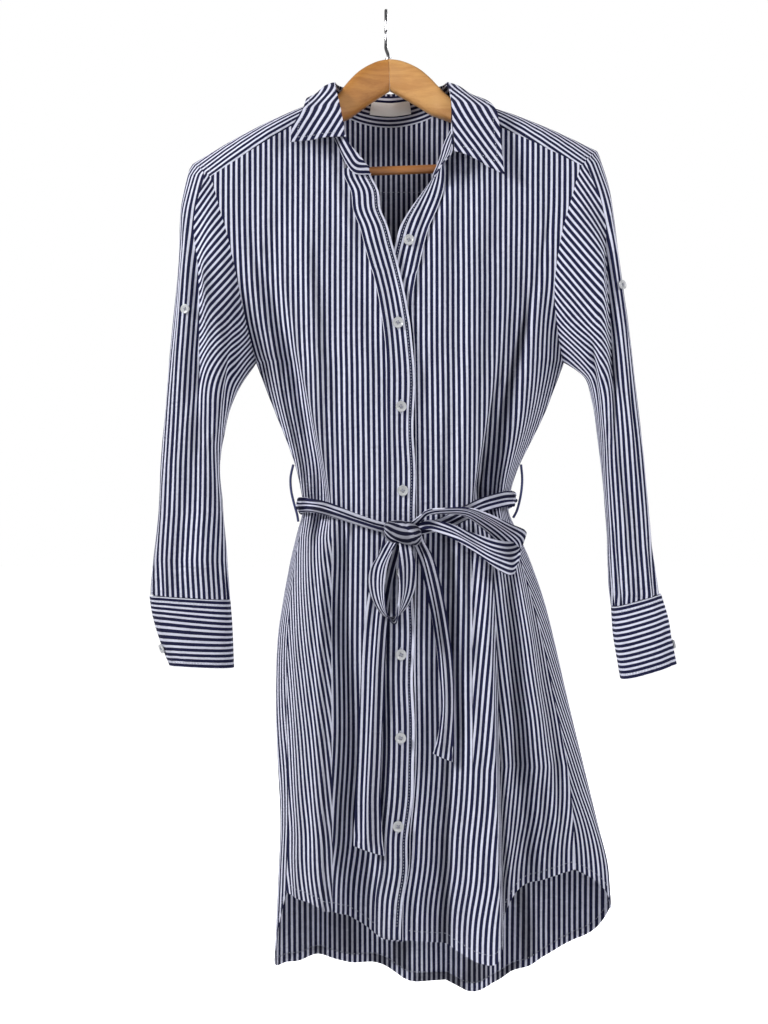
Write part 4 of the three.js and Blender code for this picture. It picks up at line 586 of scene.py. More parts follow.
def noise(tree, place, scale, detail, roughness=0.5, distortion=0.0):
    return addNode(tree, "ShaderNodeTexNoise", in_Vector=place, in_Scale=scale, in_Detail=detail,
                   in_Roughness=roughness, in_Distortion=distortion).outputs["Fac"]


def stretched(tree, place, scale):
    return addNode(tree, "ShaderNodeMapping", in_Vector=place, in_Scale=scale).outputs["Vector"]


def relief(tree, height, strength, distance, under=None):
    made = addNode(tree, "ShaderNodeBump", in_Strength=strength, in_Distance=distance, in_Height=height)
    if under:
        feed(tree, made.inputs["Normal"], under)
    return made.outputs["Normal"]


cloth = dict(
    navy=(0.009, 0.0102, 0.042, 1), white=(0.64, 0.65, 0.78, 1), navyShare=0.585, edge=0.035,
    threads=15, weaveBump=0.12, crumpleBump=0.6, crinkleBump=1.0, hollowShade=0.16, roughness=0.9, sheen=0.05)


def stripedCotton():
    made, tree, shader = newMaterial("stripedCotton", cloth["roughness"])
    shader.inputs["Sheen Weight"].default_value = cloth["sheen"]
    shader.inputs["Sheen Roughness"].default_value = 0.5
    shader.inputs["Specular IOR Level"].default_value = 0.15
    uv = addNode(tree, "ShaderNodeUVMap", uv_map="stripes")
    parts = addNode(tree, "ShaderNodeSeparateXYZ", in_Vector=uv.outputs["UV"])
    u, v = parts.outputs["X"], parts.outputs["Y"]
    place = addNode(tree, "ShaderNodeTexCoord").outputs["Object"]
    slub = noise(tree, place, 420.0, 2.0)
    wander = calc(tree, "MULTIPLY_ADD", slub, 0.05, -0.025)
    phase = calc(tree, "FRACT", calc(tree, "ADD", u, wander))
    away = calc(tree, "ABSOLUTE", calc(tree, "SUBTRACT", phase, 0.5))
    mask = addNode(tree, "ShaderNodeMapRange", interpolation_type="SMOOTHSTEP", in_Value=away,
                   in_From_Min=cloth["navyShare"] / 2 - cloth["edge"],
                   in_From_Max=cloth["navyShare"] / 2 + cloth["edge"])
    base = mixed(tree, mask.outputs["Result"], cloth["navy"], cloth["white"])
    fade = calc(tree, "MULTIPLY_ADD", noise(tree, place, 14.0, 4.0, 0.6), 0.22, 0.88)
    flecks = calc(tree, "MULTIPLY_ADD", slub, 0.16, 0.92)
    # painted shade: the hollow attribute darkens the colour in the hollows of the folds, on top of the cloth's
    # own mottle
    sunk = addNode(tree, "ShaderNodeAttribute", attribute_name="hollow").outputs["Fac"]
    both = calc(tree, "MULTIPLY", calc(tree, "MULTIPLY", fade, flecks), calc(tree, "ADD", sunk, 1.0))
    mottleAndPaintedShade = addNode(tree, "ShaderNodeCombineColor")
    for socket in mottleAndPaintedShade.inputs:
        feed(tree, socket, both)
    feed(tree, shader.inputs["Base Color"], mixed(tree, 1.0, base, mottleAndPaintedShade.outputs["Color"], "MULTIPLY"))
    warp, weft = (calc(tree, "SINE", calc(tree, "MULTIPLY", way, 2 * pi * cloth["threads"])) for way in (u, v))
    crumple = noise(tree, stretched(tree, place, (1, 1, 0.5)), 95.0, 5.0, 0.62)
    crinkle = noise(tree, stretched(tree, place, (0.8, 1, 2.6)), 46.0, 3.0, 0.55)
    ridges = calc(tree, "ABSOLUTE", calc(tree, "SUBTRACT", crinkle, 0.5))
    rough = relief(tree, crumple, cloth["crumpleBump"], 0.0022)
    creased = relief(tree, ridges, cloth["crinkleBump"], 0.004, rough)
    fine = relief(tree, calc(tree, "MULTIPLY", warp, weft), cloth["weaveBump"], 0.0002, creased)
    feed(tree, shader.inputs["Normal"], fine)
    return made


def plainFinish(name, colour, other, scale, roughness, bumpBy, stretch=(1, 1, 1), **sockets):
    made, tree, shader = newMaterial(name, roughness, **sockets)
    place = addNode(tree, "ShaderNodeTexCoord").outputs["Object"]
    grain = noise(tree, stretched(tree, place, stretch), scale, 5.0, 0.6)
    feed(tree, shader.inputs["Base Color"], mixed(tree, grain, colour, other))
    feed(tree, shader.inputs["Normal"], relief(tree, grain, bumpBy, 0.0004))
    return made


def wood(name, light, dark):
    made, tree, shader = newMaterial(name, 0.38)
    shader.inputs["Coat Weight"].default_value = 0.25
    shader.inputs["Coat Roughness"].default_value = 0.25
    place = stretched(tree, addNode(tree, "ShaderNodeTexCoord").outputs["Object"], (4, 40, 34))
    rings = noise(tree, place, 2.2, 6.0, 0.65, 0.6)
    pores = noise(tree, place, 26.0, 2.0)
    sharp = addNode(tree, "ShaderNodeMapRange", interpolation_type="SMOOTHSTEP", in_Value=rings,
                    in_From_Min=0.36, in_From_Max=0.66).outputs["Result"]
    both = calc(tree, "MULTIPLY_ADD", pores, 0.35, calc(tree, "MULTIPLY", sharp, 0.75))
    feed(tree, shader.inputs["Base Color"], mixed(tree, both, light, dark))
    feed(tree, shader.inputs["Normal"], relief(tree, both, 0.15, 0.0003))
    return made


finish = {
    "cotton": stripedCotton(),
    # The left arm's wood is darker than the right's: partly the wood's own colour, partly painted shade, as the
    # left arm's face is turned away from the light.
    "woodLeft": wood("woodLeft", (0.53, 0.245, 0.060, 1), (0.36, 0.14, 0.031, 1)),
    "woodRight": wood("woodRight", (0.67, 0.365, 0.128, 1), (0.49, 0.23, 0.074, 1)),
    "woodBar": wood("woodBar", (0.42, 0.17, 0.045, 1), (0.26, 0.09, 0.025, 1)),
    "steel": plainFinish("steel", (0.36, 0.36, 0.38, 1), (0.5, 0.5, 0.52, 1), 300, 0.24, 0.05, Metallic=1.0),
    "button": plainFinish("buttonPearl", (0.52, 0.53, 0.56, 1), (0.74, 0.75, 0.77, 1), 260, 0.14, 0.04,
                          **{"Transmission Weight": 0.25, "Coat Weight": 0.4}),
    "seamThread": plainFinish("seamThread", (0.30, 0.32, 0.40, 1), (0.42, 0.44, 0.52, 1), 900, 0.75, 0.3),
    "buttonThread": plainFinish("buttonThread", (0.22, 0.23, 0.3, 1), (0.34, 0.35, 0.42, 1), 900, 0.7, 0.3),
    "navyThread": plainFinish("navyThread", (0.02, 0.025, 0.09, 1), (0.05, 0.06, 0.17, 1), 900, 0.75, 0.4),
    "label": plainFinish("labelSatin", (0.86, 0.86, 0.87, 1), (0.93, 0.93, 0.93, 1), 500, 0.45, 0.2, (1, 1, 4)),
}


def fresh():
    bpy.ops.object.select_all(action="DESELECT")


def apply(piece, kind, **settings):
    fresh()
    piece.select_set(True)
    bpy.context.view_layer.objects.active = piece
    made = piece.modifiers.new(kind.lower(), kind)
    for key, value in settings.items():
        setattr(made, key, value)
    bpy.ops.object.modifier_apply(modifier=made.name)


def meshObject(name, verts, faces, material, uvs=None, sharp=50):
    mesh = bpy.data.meshes.new(name)
    mesh.from_pydata((np.asarray(verts, float).reshape(-1, 3) * mm).tolist(), [], faces)
    if uvs is not None:
        layer = mesh.uv_layers.new(name="stripes")
        layer.data.foreach_set("uv", np.asarray(uvs, float).ravel())
    mesh.materials.append(material)
    mesh.polygons.foreach_set("use_smooth", [True] * len(mesh.polygons))
    piece = bpy.data.objects.new(name, mesh)
    bpy.context.scene.collection.objects.link(piece)
    mesh.set_sharp_from_angle(angle=math.radians(sharp))
    return piece


def gridFaces(rows, cols, ring, start=0):
    r, c = np.meshgrid(np.arange(rows - 1), np.arange(cols if ring else cols - 1), indexing="ij")
    corners = [(r, c), (r, c + 1), (r + 1, c + 1), (r + 1, c)]
    faces = np.stack([start + a * cols + (b % cols) for a, b in corners], -1).reshape(-1, 4)
    places = [np.stack([a.ravel() for a, b in corners], -1), np.stack([b.ravel() for a, b in corners], -1)]
    return faces, places


def put(piece, node):
    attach(piece, "root")
    if node:
        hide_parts(*([node] if isinstance(node, str) else node))
    return piece


def hollows(points, ring, reach=7.0):  # below 0 in the hollows of the folds, where little light gets in
    flat = points
    for axis in (0, 1):
        step = np.median(np.linalg.norm(np.diff(points, axis=axis), axis=-1))
        cells = int(np.clip(reach / max(step, 0.1), 1, points.shape[axis] // 3))
        if axis == 0:
            cells = min(cells * 2, points.shape[0] // 3)
        style = dict(mode="wrap") if ring and axis == 1 else dict(mode="reflect", reflect_type="odd")
        pad = [(cells, cells) if k == axis else (0, 0) for k in range(3)]
        many = 2 * cells + 1
        for _ in range(2):
            wide = np.pad(flat, pad, **style)
            total = np.cumsum(np.concatenate([np.take(wide, [0], axis) * 0, wide], axis), axis)
            flat = (np.take(total, np.arange(many, total.shape[axis]), axis)
                    - np.take(total, np.arange(0, total.shape[axis] - many), axis)) / many
    sunk = np.sum((flat - points) * gridNormals(points, ring), -1)
    return np.clip(-cloth["hollowShade"] * sunk, -0.55, 0.1)


def clothPiece(name, node, points, u, v, thick=clothThick, ring=False, zone=None, material="cotton"):
    rows, cols = points.shape[:2]
    faces, (r, c) = gridFaces(rows, cols, ring)
    uu = u[r, c] if zone is None else u[zone[c[:, :1]], r, c]
    uvs = np.stack([uu, v[r, c]], -1) / stripePitch
    piece = meshObject(name, points, faces.tolist(), finish[material], uvs.reshape(-1, 2))
    # painted shade: how much darker the colour is in the hollows of the folds, kept for the cloth's material
    shade = piece.data.attributes.new("hollow", "FLOAT", "POINT")
    shade.data.foreach_set("value", hollows(points, ring).astype(np.float32).ravel())
    apply(piece, "SOLIDIFY", thickness=thick * mm, offset=0, use_even_offset=False)
    piece.data.set_sharp_from_angle(angle=math.radians(60))
    return put(piece, node)


def acrossRun(points, depth=1.0):  # the cloth's level length along each row, with its y counted in part
    step = np.diff(points[..., :2], axis=1)
    step = np.hypot(step[..., 0], step[..., 1] * depth)
    return np.concatenate([np.zeros((len(points), 1)), np.cumsum(step, 1)], 1)


def evened(u, reach=9, x=0.0):  # takes the row to row jitter out of a stripe count that follows x
    weights = np.hanning(2 * reach + 3)[1:-1]
    padded = np.pad(u - x, ((reach, reach), (0, 0)), "edge")
    return x + sum(w * padded[i:i + len(u)] for i, w in enumerate(weights / weights.sum()))


def run(points, axis):
    step = np.linalg.norm(np.diff(points, axis=axis), axis=-1)
    return np.concatenate([np.zeros_like(np.take(step, [0], axis)), np.cumsum(step, axis)], axis)


def fromMiddle(level):
    middle = level.shape[1] // 2
    return level - level[:, middle:middle + 1]


def gridNormals(points, ring=False):
    across = np.roll(points, -1, 1) - np.roll(points, 1, 1) if ring else np.gradient(points, axis=1)
    return unit(np.cross(across, np.gradient(points, axis=0)))


def mesh2(rows, cols):
    down, across = np.meshgrid(np.linspace(0, 1, rows + 1), np.linspace(0, 1, cols + 1), indexing="ij")
    return across, down


def withHem(make, rows, cols, length, inward, deep=9.0):  # a grid whose hem is turned up inside
    across, down = mesh2(rows, cols)
    turned = np.array([0.0, 0.6, 2.5, 5, 7, deep]) / length
    main = make(across, down)
    line = np.linspace(0, 1, cols + 1)
    back = []
    for i, s in enumerate(turned):
        row = make(line, np.full(cols + 1, 1 - s))
        row[:, 1] += inward * (0.55 if i == 0 else 1.0)
        back.append(row)
    return np.concatenate([main, np.array(back)]), across, down, len(turned)


def sheetOf(points, u):
    length = float(np.max(run(points, 0)))


def squeeze(z):  # spare cloth taken in at each side seam by the belt
    return 22 * smooth(-z, 300, 500) * (1 - smooth(-z, 640, 1000))


print("fronts")
# Below the belt the stripes change direction at the sharp folds: a mesh column follows each of those
# folds, from its x at the belt to its x at the hem, and the stripes between two of them slope.
pleats = dict(
    top=-575, foot=-1010, ends=245,
    upper=dict(rows=236, cols=64, at=[32], topX=[-60], footX=[-59], slope=[-0.19, 0], limit=[0, 0]),
    lower=dict(rows=236, cols=84, at=[44, 59], topX=[118, 91], footX=[127, 90],
               slope=[0, 0, 0], limit=[-7, 4, 0]))
panels = dict(frontLength=860, bandRows=240, bandCols=14, bandLength=815, bandThick=1.0, backRows=214,
              backCols=184, backLength=860, turnIn=0.9, straightZ=-374)


def bentColumns(band, across, down):
    p = pleats[band]
    share = np.clip((down - body["armShare"]) / (1 - body["armShare"]), 0, 1)
    marks = [(0, 0 * down)]
    for at, topX, footX in zip(p["at"], p["topX"], p["footX"]):
        c = at / p["cols"]
        hem = column(fronts[band]["hem"], "z", c, "at")
        z = np.minimum(pleats["top"], lerp(body["underarmZ"], hem, share))
        x = lerp(topX, footX, (z - pleats["top"]) / (pleats["foot"] - pleats["top"]))
        seam = column(bodyShape, fronts[band]["seam"], z)
        marks.append((c, (x - seam) / (bandSeamX(band, z) - seam)))
    marks.append((1, 1 + 0 * down))
    bent = across
    for (c0, a0), (c1, a1) in zip(marks, marks[1:]):
        bent = np.where((across >= c0) & (across <= c1), lerp(a0, a1, (across - c0) / (c1 - c0)), bent)
    return bent


for band, panel in fronts.items():
    p = pleats[band]
    points, across, down, extra = withHem(
        lambda a, d: frontPoint(band, bentColumns(band, a, d), d), p["rows"], p["cols"],
        panels["frontLength"], panels["turnIn"])
    side = panel["side"]
    level = acrossRun(points, lerp(0.8, 0.45, smooth(np.linspace(0, 1, points.shape[1] - 1), 0.15, 0.45)))
    edgeZ = points[:, -1, 2]
    line = bandSeamX(band, np.maximum(edgeZ, panels["straightZ"]))
    acrossAll = np.concatenate([across, across[:extra]])
    u = line[:, None] + side * (level[:, -1:] - level + squeeze(points[..., 2]) * (1 - acrossAll) ** 4)
    u = evened(u, 9, points[..., 0])
    below = np.maximum(0, pleats["top"] - points[..., 2])
    turned = np.clip(below / pleats["ends"], 0, 1) * stripePitch
    zones = np.stack([u + slope * below + limit * turned for slope, limit in zip(p["slope"], p["limit"])])
    zone = np.searchsorted(p["at"], np.arange(p["cols"] + 1), side="right")
    piece = clothPiece(f"frontPanel_{band}", f"front_{band}", points, zones, -points[..., 2], zone=zone)
    sheetOf(points, acrossRun(points))
    points, across, down, extra = withHem(lambda a, d: bandPoint(band, a, d), panels["bandRows"],
                                          panels["bandCols"], panels["bandLength"], panels["turnIn"])
    acrossAll = np.concatenate([across, across[:extra]])
    u = side * -1 * (acrossAll * body["bandWide"] + 0.5)       # stripes run on from the seam
    piece = clothPiece(f"buttonBand_{band}", f"button_band_{band}", points, u, -points[..., 2],
                       thick=panels["bandThick"])
    sheetOf(points, u)

print("back and yoke")
points, across, down, extra = withHem(backPoint, panels["backRows"], panels["backCols"],
                                      panels["backLength"], -panels["turnIn"])
steps = np.linspace(0, 1, points.shape[1] - 1)
level = acrossRun(points, lerp(0.8, 0.2, smooth(np.minimum(steps, 1 - steps), 0.06, 0.24)))
acrossAll = np.concatenate([across, across[:extra]])
spare = np.sign(acrossAll - 0.5) * squeeze(points[..., 2]) * np.abs(acrossAll * 2 - 1) ** 4
middle = points.shape[1] // 2
u = evened(fromMiddle(level) + points[:, middle:middle + 1, 0] + spare, 7, points[..., 0])
piece = clothPiece("backPanel", "back", points, u, -points[..., 2])
sheetOf(points, acrossRun(points))

yoke = dict(rows=40, cols=200, slope=38, ridge=23, overShare=0.7, overY=-30)
across, down = mesh2(yoke["rows"], yoke["cols"])
points = yokePoint(across, down)
slope, ridge = math.radians(yoke["slope"]), yoke["ridge"]    # the front parts' stripes slope, up to that column
x, high = points[..., 0], -points[..., 2]
over = -yoke["overShare"] * (points[..., 1] - yoke["overY"])     # what the cloth travels over the shoulder
downSlope, upSlope = high * math.cos(slope) + over, x * math.sin(slope)
u = np.stack([upSlope + downSlope, x, downSlope - upSlope])
columns = np.arange(points.shape[1])
zone = np.where(columns < ridge, 0, np.where(columns >= points.shape[1] - 1 - ridge, 2, 1))
piece = clothPiece("shoulderYoke", "yoke", points, u, run(points, 0), zone=zone)
sheetOf(points, u[1])

print("collar")
collar = dict(rows=26, standRows=12, cols=200, slope=37, slopeZ=-85, thick=1.5)
label = dict(rows=14, cols=40, at=9 / 17, wide=0.082, top=0.78, foot=0.36, inward=-2.5, thick=0.5)
across, down = mesh2(collar["standRows"], collar["cols"])
points = standPoint(across, down)
piece = clothPiece("collarStand", "collar_stand", points, run(points, 0), run(points, 1), thick=collar["thick"])
sheetOf(points, run(points, 1))
across, down = mesh2(collar["rows"], collar["cols"])
points = leafPoint(across, down)
slope = math.radians(collar["slope"]) * smooth(np.abs(across - 0.5), 0.16, 0.34)
middleRow, middle = collar["rows"] // 2, collar["cols"] // 2
level = acrossRun(points)[middleRow] - points[middleRow, :, 0]   # the y it travels at the sides of the neck
u = ((points[..., 0] + level - level[middle]) * np.cos(slope)
     + np.sign(across - 0.5) * (points[..., 2] - collar["slopeZ"]) * np.sin(slope))
piece = clothPiece("collarLeaf", "collar_leaf", points, u, run(points, 0), thick=collar["thick"])
sheetOf(points, run(points, 1))
across, down = mesh2(label["rows"], label["cols"])
points = standPoint(label["at"] + (across - 0.5) * label["wide"], lerp(label["top"], label["foot"], down),
                    label["inward"])
points[..., 1] -= 0.5 * np.sin(pi * down) + 0.3 * np.sin(across * 9)
piece = clothPiece("neckLabel", "neck_label", points, run(points, 1), run(points, 0), thick=label["thick"],
                   material="label")
sheetOf(points, run(points, 1))

print("sleeves and cuffs")
sleeves = {
    "left": dict(armhole=armholeLeft, table=sleeveLeft, cuff=cuffLeft, slit=36, side=-1, tip=(-209, -172),
                 turned=40, meet=(-196, -400), meetShift=10, tab=(62, 0.34), front="front_upper"),
    "right": dict(armhole=armholeRight, table=sleeveRight, cuff=cuffRight, slit=18, side=1, tip=(228, -158),
                  turned=38, meet=(230, -400), meetShift=10, tab=(46, 0.345), front="front_lower"),
}
sleeveGrid = dict(rows=150, cols=88, fold=20, seam=44)    # columns: outer edge, groove, underarm seam
cuffGrid = dict(rows=40, cols=120, thick=1.5)


def alongOutline(s, x, z):  # the stripe count inwards from the sleeve's outer edge
    edgeZ = np.concatenate([[s["tip"][1]], s["table"]["outZ"]])
    edgeX = np.concatenate([[s["tip"][0]], s["table"]["outX"]])
    return s["side"] * (np.interp(-z, -edgeZ, edgeX) - x)


def roundTheSide(points):  # what the level length of each row has beyond its travel in x
    step = np.diff(points[..., :2], axis=1)
    spare = np.linalg.norm(step, axis=-1) - np.abs(step[..., 0])
    return evened(np.concatenate([np.zeros((len(points), 1)), np.cumsum(spare, 1)], 1), 24)


rows, cols, fold, seam = sleeveGrid.values()
for name, s in sleeves.items():
    down, c = np.meshgrid(np.linspace(0, 1, rows + 1), np.arange(cols + 1), indexing="ij")
    groove = np.radians(through([0, 0.1, 0.2, 0.4, 0.6], [12, 46, 70, 92, 108], down))
    under, rear = lerp(groove, pi, (c - fold) / (seam - fold)), pi + pi * (c - seam) / (cols - seam)
    turn = np.where(c <= fold, groove * c / fold, np.where(c <= seam, under, rear))
    points = sleevePoint(s["armhole"], s["table"], turn, down)
    x, z = points[..., 0], points[..., 2]
    lean = math.radians(s["turned"])
    sloping = lambda px, high: -s["side"] * px * math.cos(lean) + high * math.sin(lean)
    spare = roundTheSide(points)
    outer = alongOutline(s, x, z) + spare
    hidden = alongOutline(s, x, z) + spare[:, -1:] - spare
    meetX, meetZ = s["meet"]                        # the sloping stripes join the outer ones here
    atMeet = float(alongOutline(s, meetX, np.array(meetZ))) + s["meetShift"] - sloping(meetX, -meetZ)
    inner = lerp(sloping(x, -z) + atMeet + spare - spare[:, fold:fold + 1], outer, smooth(-z, 340, 440))
    zone = np.where(np.arange(cols + 1) < fold, 0, np.where(np.arange(cols + 1) < seam, 1, 2))
    piece = clothPiece(f"sleeve_{name}_cloth", f"sleeve_{name}", points[:, :-1],
                       np.stack([outer, inner, -hidden]), run(points, 0), ring=True, zone=zone)
    sheetOf(points, acrossRun(points))
    across, down = mesh2(cuffGrid["rows"], cuffGrid["cols"])
    points = cuffPoint(s["cuff"], s["slit"], across, down)
    middle = cuffGrid["cols"] // 2
    u = run(points[:, middle:middle + 1], 0) + 0 * across
    piece = clothPiece(f"cuff_{name}_cloth", f"cuff_{name}", points, u, run(points, 1), thick=cuffGrid["thick"])
    sheetOf(points, run(points, 1))

print("belt")
# Middle lines of the belt's stretches, off the front by "off", and half of the width's direction.
ribbonNames = "x off z wideX wideY wideZ"
beltLeft = asColumns(ribbonNames, [
    (-95, -1, -541, 0, 0, 9), (-93, 3, -541, 0, 0, 8.5), (-84, 3.8, -541, 0, 0, 7.5),
    (-70, 4, -543, 1, 0, 7), (-54, 4, -548, 1.5, 0, 6.5), (-34, 4, -555, 2, -1, 5),
    (-12, 4.2, -562, 2, -1, 4.5), (6, 5, -566, 2, -1, 4.5),
])
beltRight = asColumns(ribbonNames, [
    (34, 3.4, -567, -1, 0, 4.5), (60, 1.4, -561, -2, 0, 6), (84, 1.2, -549, -2, 0, 6.5),
    (104, 1, -540, -2, 0, 7), (126, 1, -534, -1.5, 0, 7.5), (136, 0.6, -533, -1, 0, 8.5),
    (138.5, -1, -533, 0, 0, 9),
])
beltBack = asColumns("at z half", [
    (0, -541, 9), (0.12, -541, 9.5), (0.3, -545, 13), (0.5, -549, 15), (0.7, -543, 13),
    (0.88, -534, 9.5), (1, -533, 9),
])
loopRight = asColumns(ribbonNames, [
    (26, 11.5, -562, 0, -4, 3), (34, 13, -556, 0, -5, 4), (44, 14, -548, 0, -9, 3),
    (62, 20, -546, 0, -13, 3), (84, 24, -547, 1, -16, 4), (104, 26, -556, 4, -17, 6),
    (124, 26, -569, 6, -16, 9), (138, 24, -581, 8, -12, 14), (141, 20, -592, 3, -4, 17),
    (131, 16, -597, -2, -2, 18), (113, 15, -592, -6, 2, 17), (92, 14, -581, -6, 3, 13),
    (72, 13, -570, -4, 3, 9), (52, 12, -563, -2, 2, 6), (42, 11, -562, -1, 1, 4),
    (28, 12, -566, 0, 0, 3.5),
])
loopLeft = asColumns(ribbonNames, [
    (10, 12, -573, 6, -2, 1), (0, 16, -590, 8, -4, 4), (-8, 19, -608, 9, -8, 3),
    (-9, 21, -630, 8, -11, 0), (-4, 23, -650, 6, -13, -3), (6, 24, -660, 3, -14, -2),
    (15, 24, -650, -4, -13, 0), (21, 22, -630, -8, -9, 0), (22, 19, -606, -9, -5, 0),
    (20, 15, -586, -6, -2, 0), (18, 14, -578, -4, -1, 0),
])
tailLeft = asColumns(ribbonNames, [
    (7, 4.6, -572, 8, 0, 0), (4, 4.4, -588, 9, 0, 0), (-3, 4, -615, 10, 0, 0),
    (-9, 4, -650, 11, -1, 0), (-13, 4, -700, 12, -2, 0), (-15, 4.5, -750, 12, -2, 0),
    (-17, 5, -800, 12, -2, 0), (-19, 6, -850, 13, -2, 0), (-19, 7, -885, 15, -1, -3),
    (-18, 8, -906, 16, -1, -5),
])
tailRight = asColumns(ribbonNames, [
    (30, 7, -570, 5, -2, 2), (36, 6.5, -583, 5, -2, 2), (43, 6, -600, 7, -2, 3), (51, 5, -632, 8, -2, 2),
    (58, 5, -670, 8, -2, 2), (63, 5, -710, 8, -2, 1), (65, 6, -750, 7, -3, 1), (63, 8, -785, 8, -3, -2),
    (60, 9, -808, 10, -2, -4),
])
knot = dict(x=17.5, y=-58, z=-570, halfWide=19, halfHigh=11, halfDeep=9.5, slant=3, rows=60, cols=72)
behind = dict(rows=160, cols=24, off=4.6)      # the belt across the back
beltCols, beltThick = 36, 1.2


def ribbonPoint(table, across, along, cup, reach):
    at = along * (len(table["x"]) - 1)
    rows = np.arange(len(table["x"]))
    rowY = clearOfFront(table["x"], table["z"], reach) - table["off"]
    point = vec(through(rows, table["x"], at), through(rows, rowY, at), through(rows, table["z"], at))
    wide = alongTable(table, ["wideX", "wideY", "wideZ"], at)
    side = across * 2 - 1
    point = point + wide * side[..., None]
    point[..., 1] -= cup * (1 - side * side)
    return point


def ribbon(node, table, rows, cup, reach, deep, folds, drift, seed, restsOn, wraps=(0.0, 0.0), loop=False):
    across, along = mesh2(rows, beltCols)
    points = ribbonPoint(table, across, along, cup, reach)
    side = across * 2 - 1
    normal = gridNormals(points)
    if not loop:                     # a loop turns over, and the rest faces the front
        normal = normal * np.where(normal[..., 1:2] > 0, -1, 1)
    waves = np.cos(pi * folds * side / 2 + drift * along * pi + seed)
    amount = deep * waves * lerp(1, 0.6, np.abs(side) ** 3)
    fadeIn = smooth(along, 0, 0.08) * smooth(1 - along, 0, 0.08)
    amount = amount * fadeIn + 0.5 * ripple(side * 20, along * 200, seed + 40, 24, 1.4)
    points = points + normal * amount[..., None]
    for end, nearEnd in ((wraps[0], along), (wraps[1], 1 - along)):  # an end that turns away round the side
        bend = (1 - smooth(nearEnd, 0, 0.12)) ** 1.5
        points[..., 1] += abs(end) * bend
        points[..., 0] += 0.25 * end * bend
        if end:
            middle = points[:, beltCols // 2:beltCols // 2 + 1]
            points = middle + (points - middle) * lerp(0.45, 1, smooth(nearEnd, 0, 0.14) ** 0.6)[..., None]
    piece = clothPiece(f"{node}_cloth", node, points, fromMiddle(run(points, 1)), run(points, 0), thick=beltThick)
    sheetOf(points, run(points, 1))


# cup: how hollow it lies. reach: how far round it looks for the cloth below. deep, folds, drift: its folds.
ribbons = {
    "belt_left": dict(table=beltLeft, rows=90, cup=2.2, reach=8, deep=2.0, folds=3.1, drift=0.7, seed=1,
                      restsOn="front_upper", wraps=(-11, 0)),
    "belt_right": dict(table=beltRight, rows=80, cup=2.2, reach=8, deep=1.8, folds=2.7, drift=0.9, seed=2,
                       restsOn="front_lower", wraps=(0, 11)),
    "belt_loop_right": dict(table=loopRight, rows=220, cup=1, reach=9, deep=1.3, folds=2.3, drift=1.4, seed=5,
                            restsOn="belt_knot", loop=True),
    "belt_loop_left": dict(table=loopLeft, rows=150, cup=1, reach=9, deep=1.2, folds=1.9, drift=0.8, seed=5,
                           restsOn="belt_knot", loop=True),
    "belt_tail_left": dict(table=tailLeft, rows=150, cup=2.5, reach=12, deep=2.6, folds=2.2, drift=0.8, seed=3,
                           restsOn="belt_knot"),
    "belt_tail_right": dict(table=tailRight, rows=120, cup=2, reach=10, deep=2.2, folds=2.0, drift=0.9, seed=4,
                            restsOn="belt_knot"),
}
for node, settings in ribbons.items():
    ribbon(node, **settings)


def beltBackPoint(across, along):
    z, half = column(beltBack, "z", along, "at"), column(beltBack, "half", along, "at")
    half = half * lerp(0.55, 1, smooth(np.minimum(along, 1 - along), 0.02, 0.13))

    def place(at):
        hem = column(hemBack, "z", at, "at")
        spots = []
        for side in (-1, -0.5, 0, 0.5, 1):
            height = column(beltBack, "z", at, "at") + side * column(beltBack, "half", at, "at")
            down = (height - body["underarmZ"]) / (hem - body["underarmZ"])
            spots.append(backPoint(at, body["backArmShare"] + (1 - body["backArmShare"]) * down))
        spots = np.array(spots)
        out = spots[..., 1].max(0)
        wide = np.abs(spots[..., 0] - body["middle"]).max(0)
        return vec(body["middle"] + np.sign(spots[2, ..., 0] - body["middle"]) * wide, out, spots[2, ..., 2])

    here = place(along)
    tangent = place(np.minimum(1, along + 0.02)) - place(np.maximum(0, along - 0.02))
    tangent[..., 2] = 0
    tangent = unit(tangent)
    outward = vec(-tangent[..., 1], tangent[..., 0], 0 * along)
    side = across * 2 - 1
    folded = 1.6 * (1 - side * side) + 1.3 * np.cos(pi * 1.4 * side + 2 * along) * np.abs(np.abs(along - 0.5) * 2)
    here = here + outward * (behind["off"] + folded)[..., None]
    here[..., 2] = z + side * half
    return here


across, along = mesh2(behind["rows"], behind["cols"])
points = beltBackPoint(across, along)
piece = clothPiece("belt_back_cloth", "belt_back", points, fromMiddle(run(points, 1)), run(points, 0),
                   thick=beltThick)
sheetOf(points, run(points, 1))

share, around = np.meshgrid(np.linspace(0.015, 0.985, knot["rows"] + 1),
                            np.linspace(0, 2 * pi, knot["cols"] + 1), indexing="ij")
turn = (share * 2 - 1) * pi / 2
size = np.maximum(0.3, np.cos(turn) ** 0.5)
straps = np.abs(np.cos(1.5 * around + 1.5 * (share - 0.5) * pi + 0.5)) ** 0.6    # three turns of the belt
wrap = 0.9 + 0.26 * straps - 0.08 * bump((share - 0.62 + 0.08 * np.sin(around)) / 0.05)
points = vec(knot["x"] + knot["halfWide"] * np.sin(turn),
             knot["y"] - knot["halfDeep"] * size * np.cos(around) * wrap,
             knot["z"] + knot["halfHigh"] * size * np.sin(around) * wrap - knot["slant"] * np.sin(turn))
u = around * 9 + 9 * np.sin(pi * share)
piece = clothPiece("belt_knot_cloth", "belt_knot", points[:, :-1], u, share * 46, thick=beltThick, ring=True)
sheetOf(points, run(points, 1))


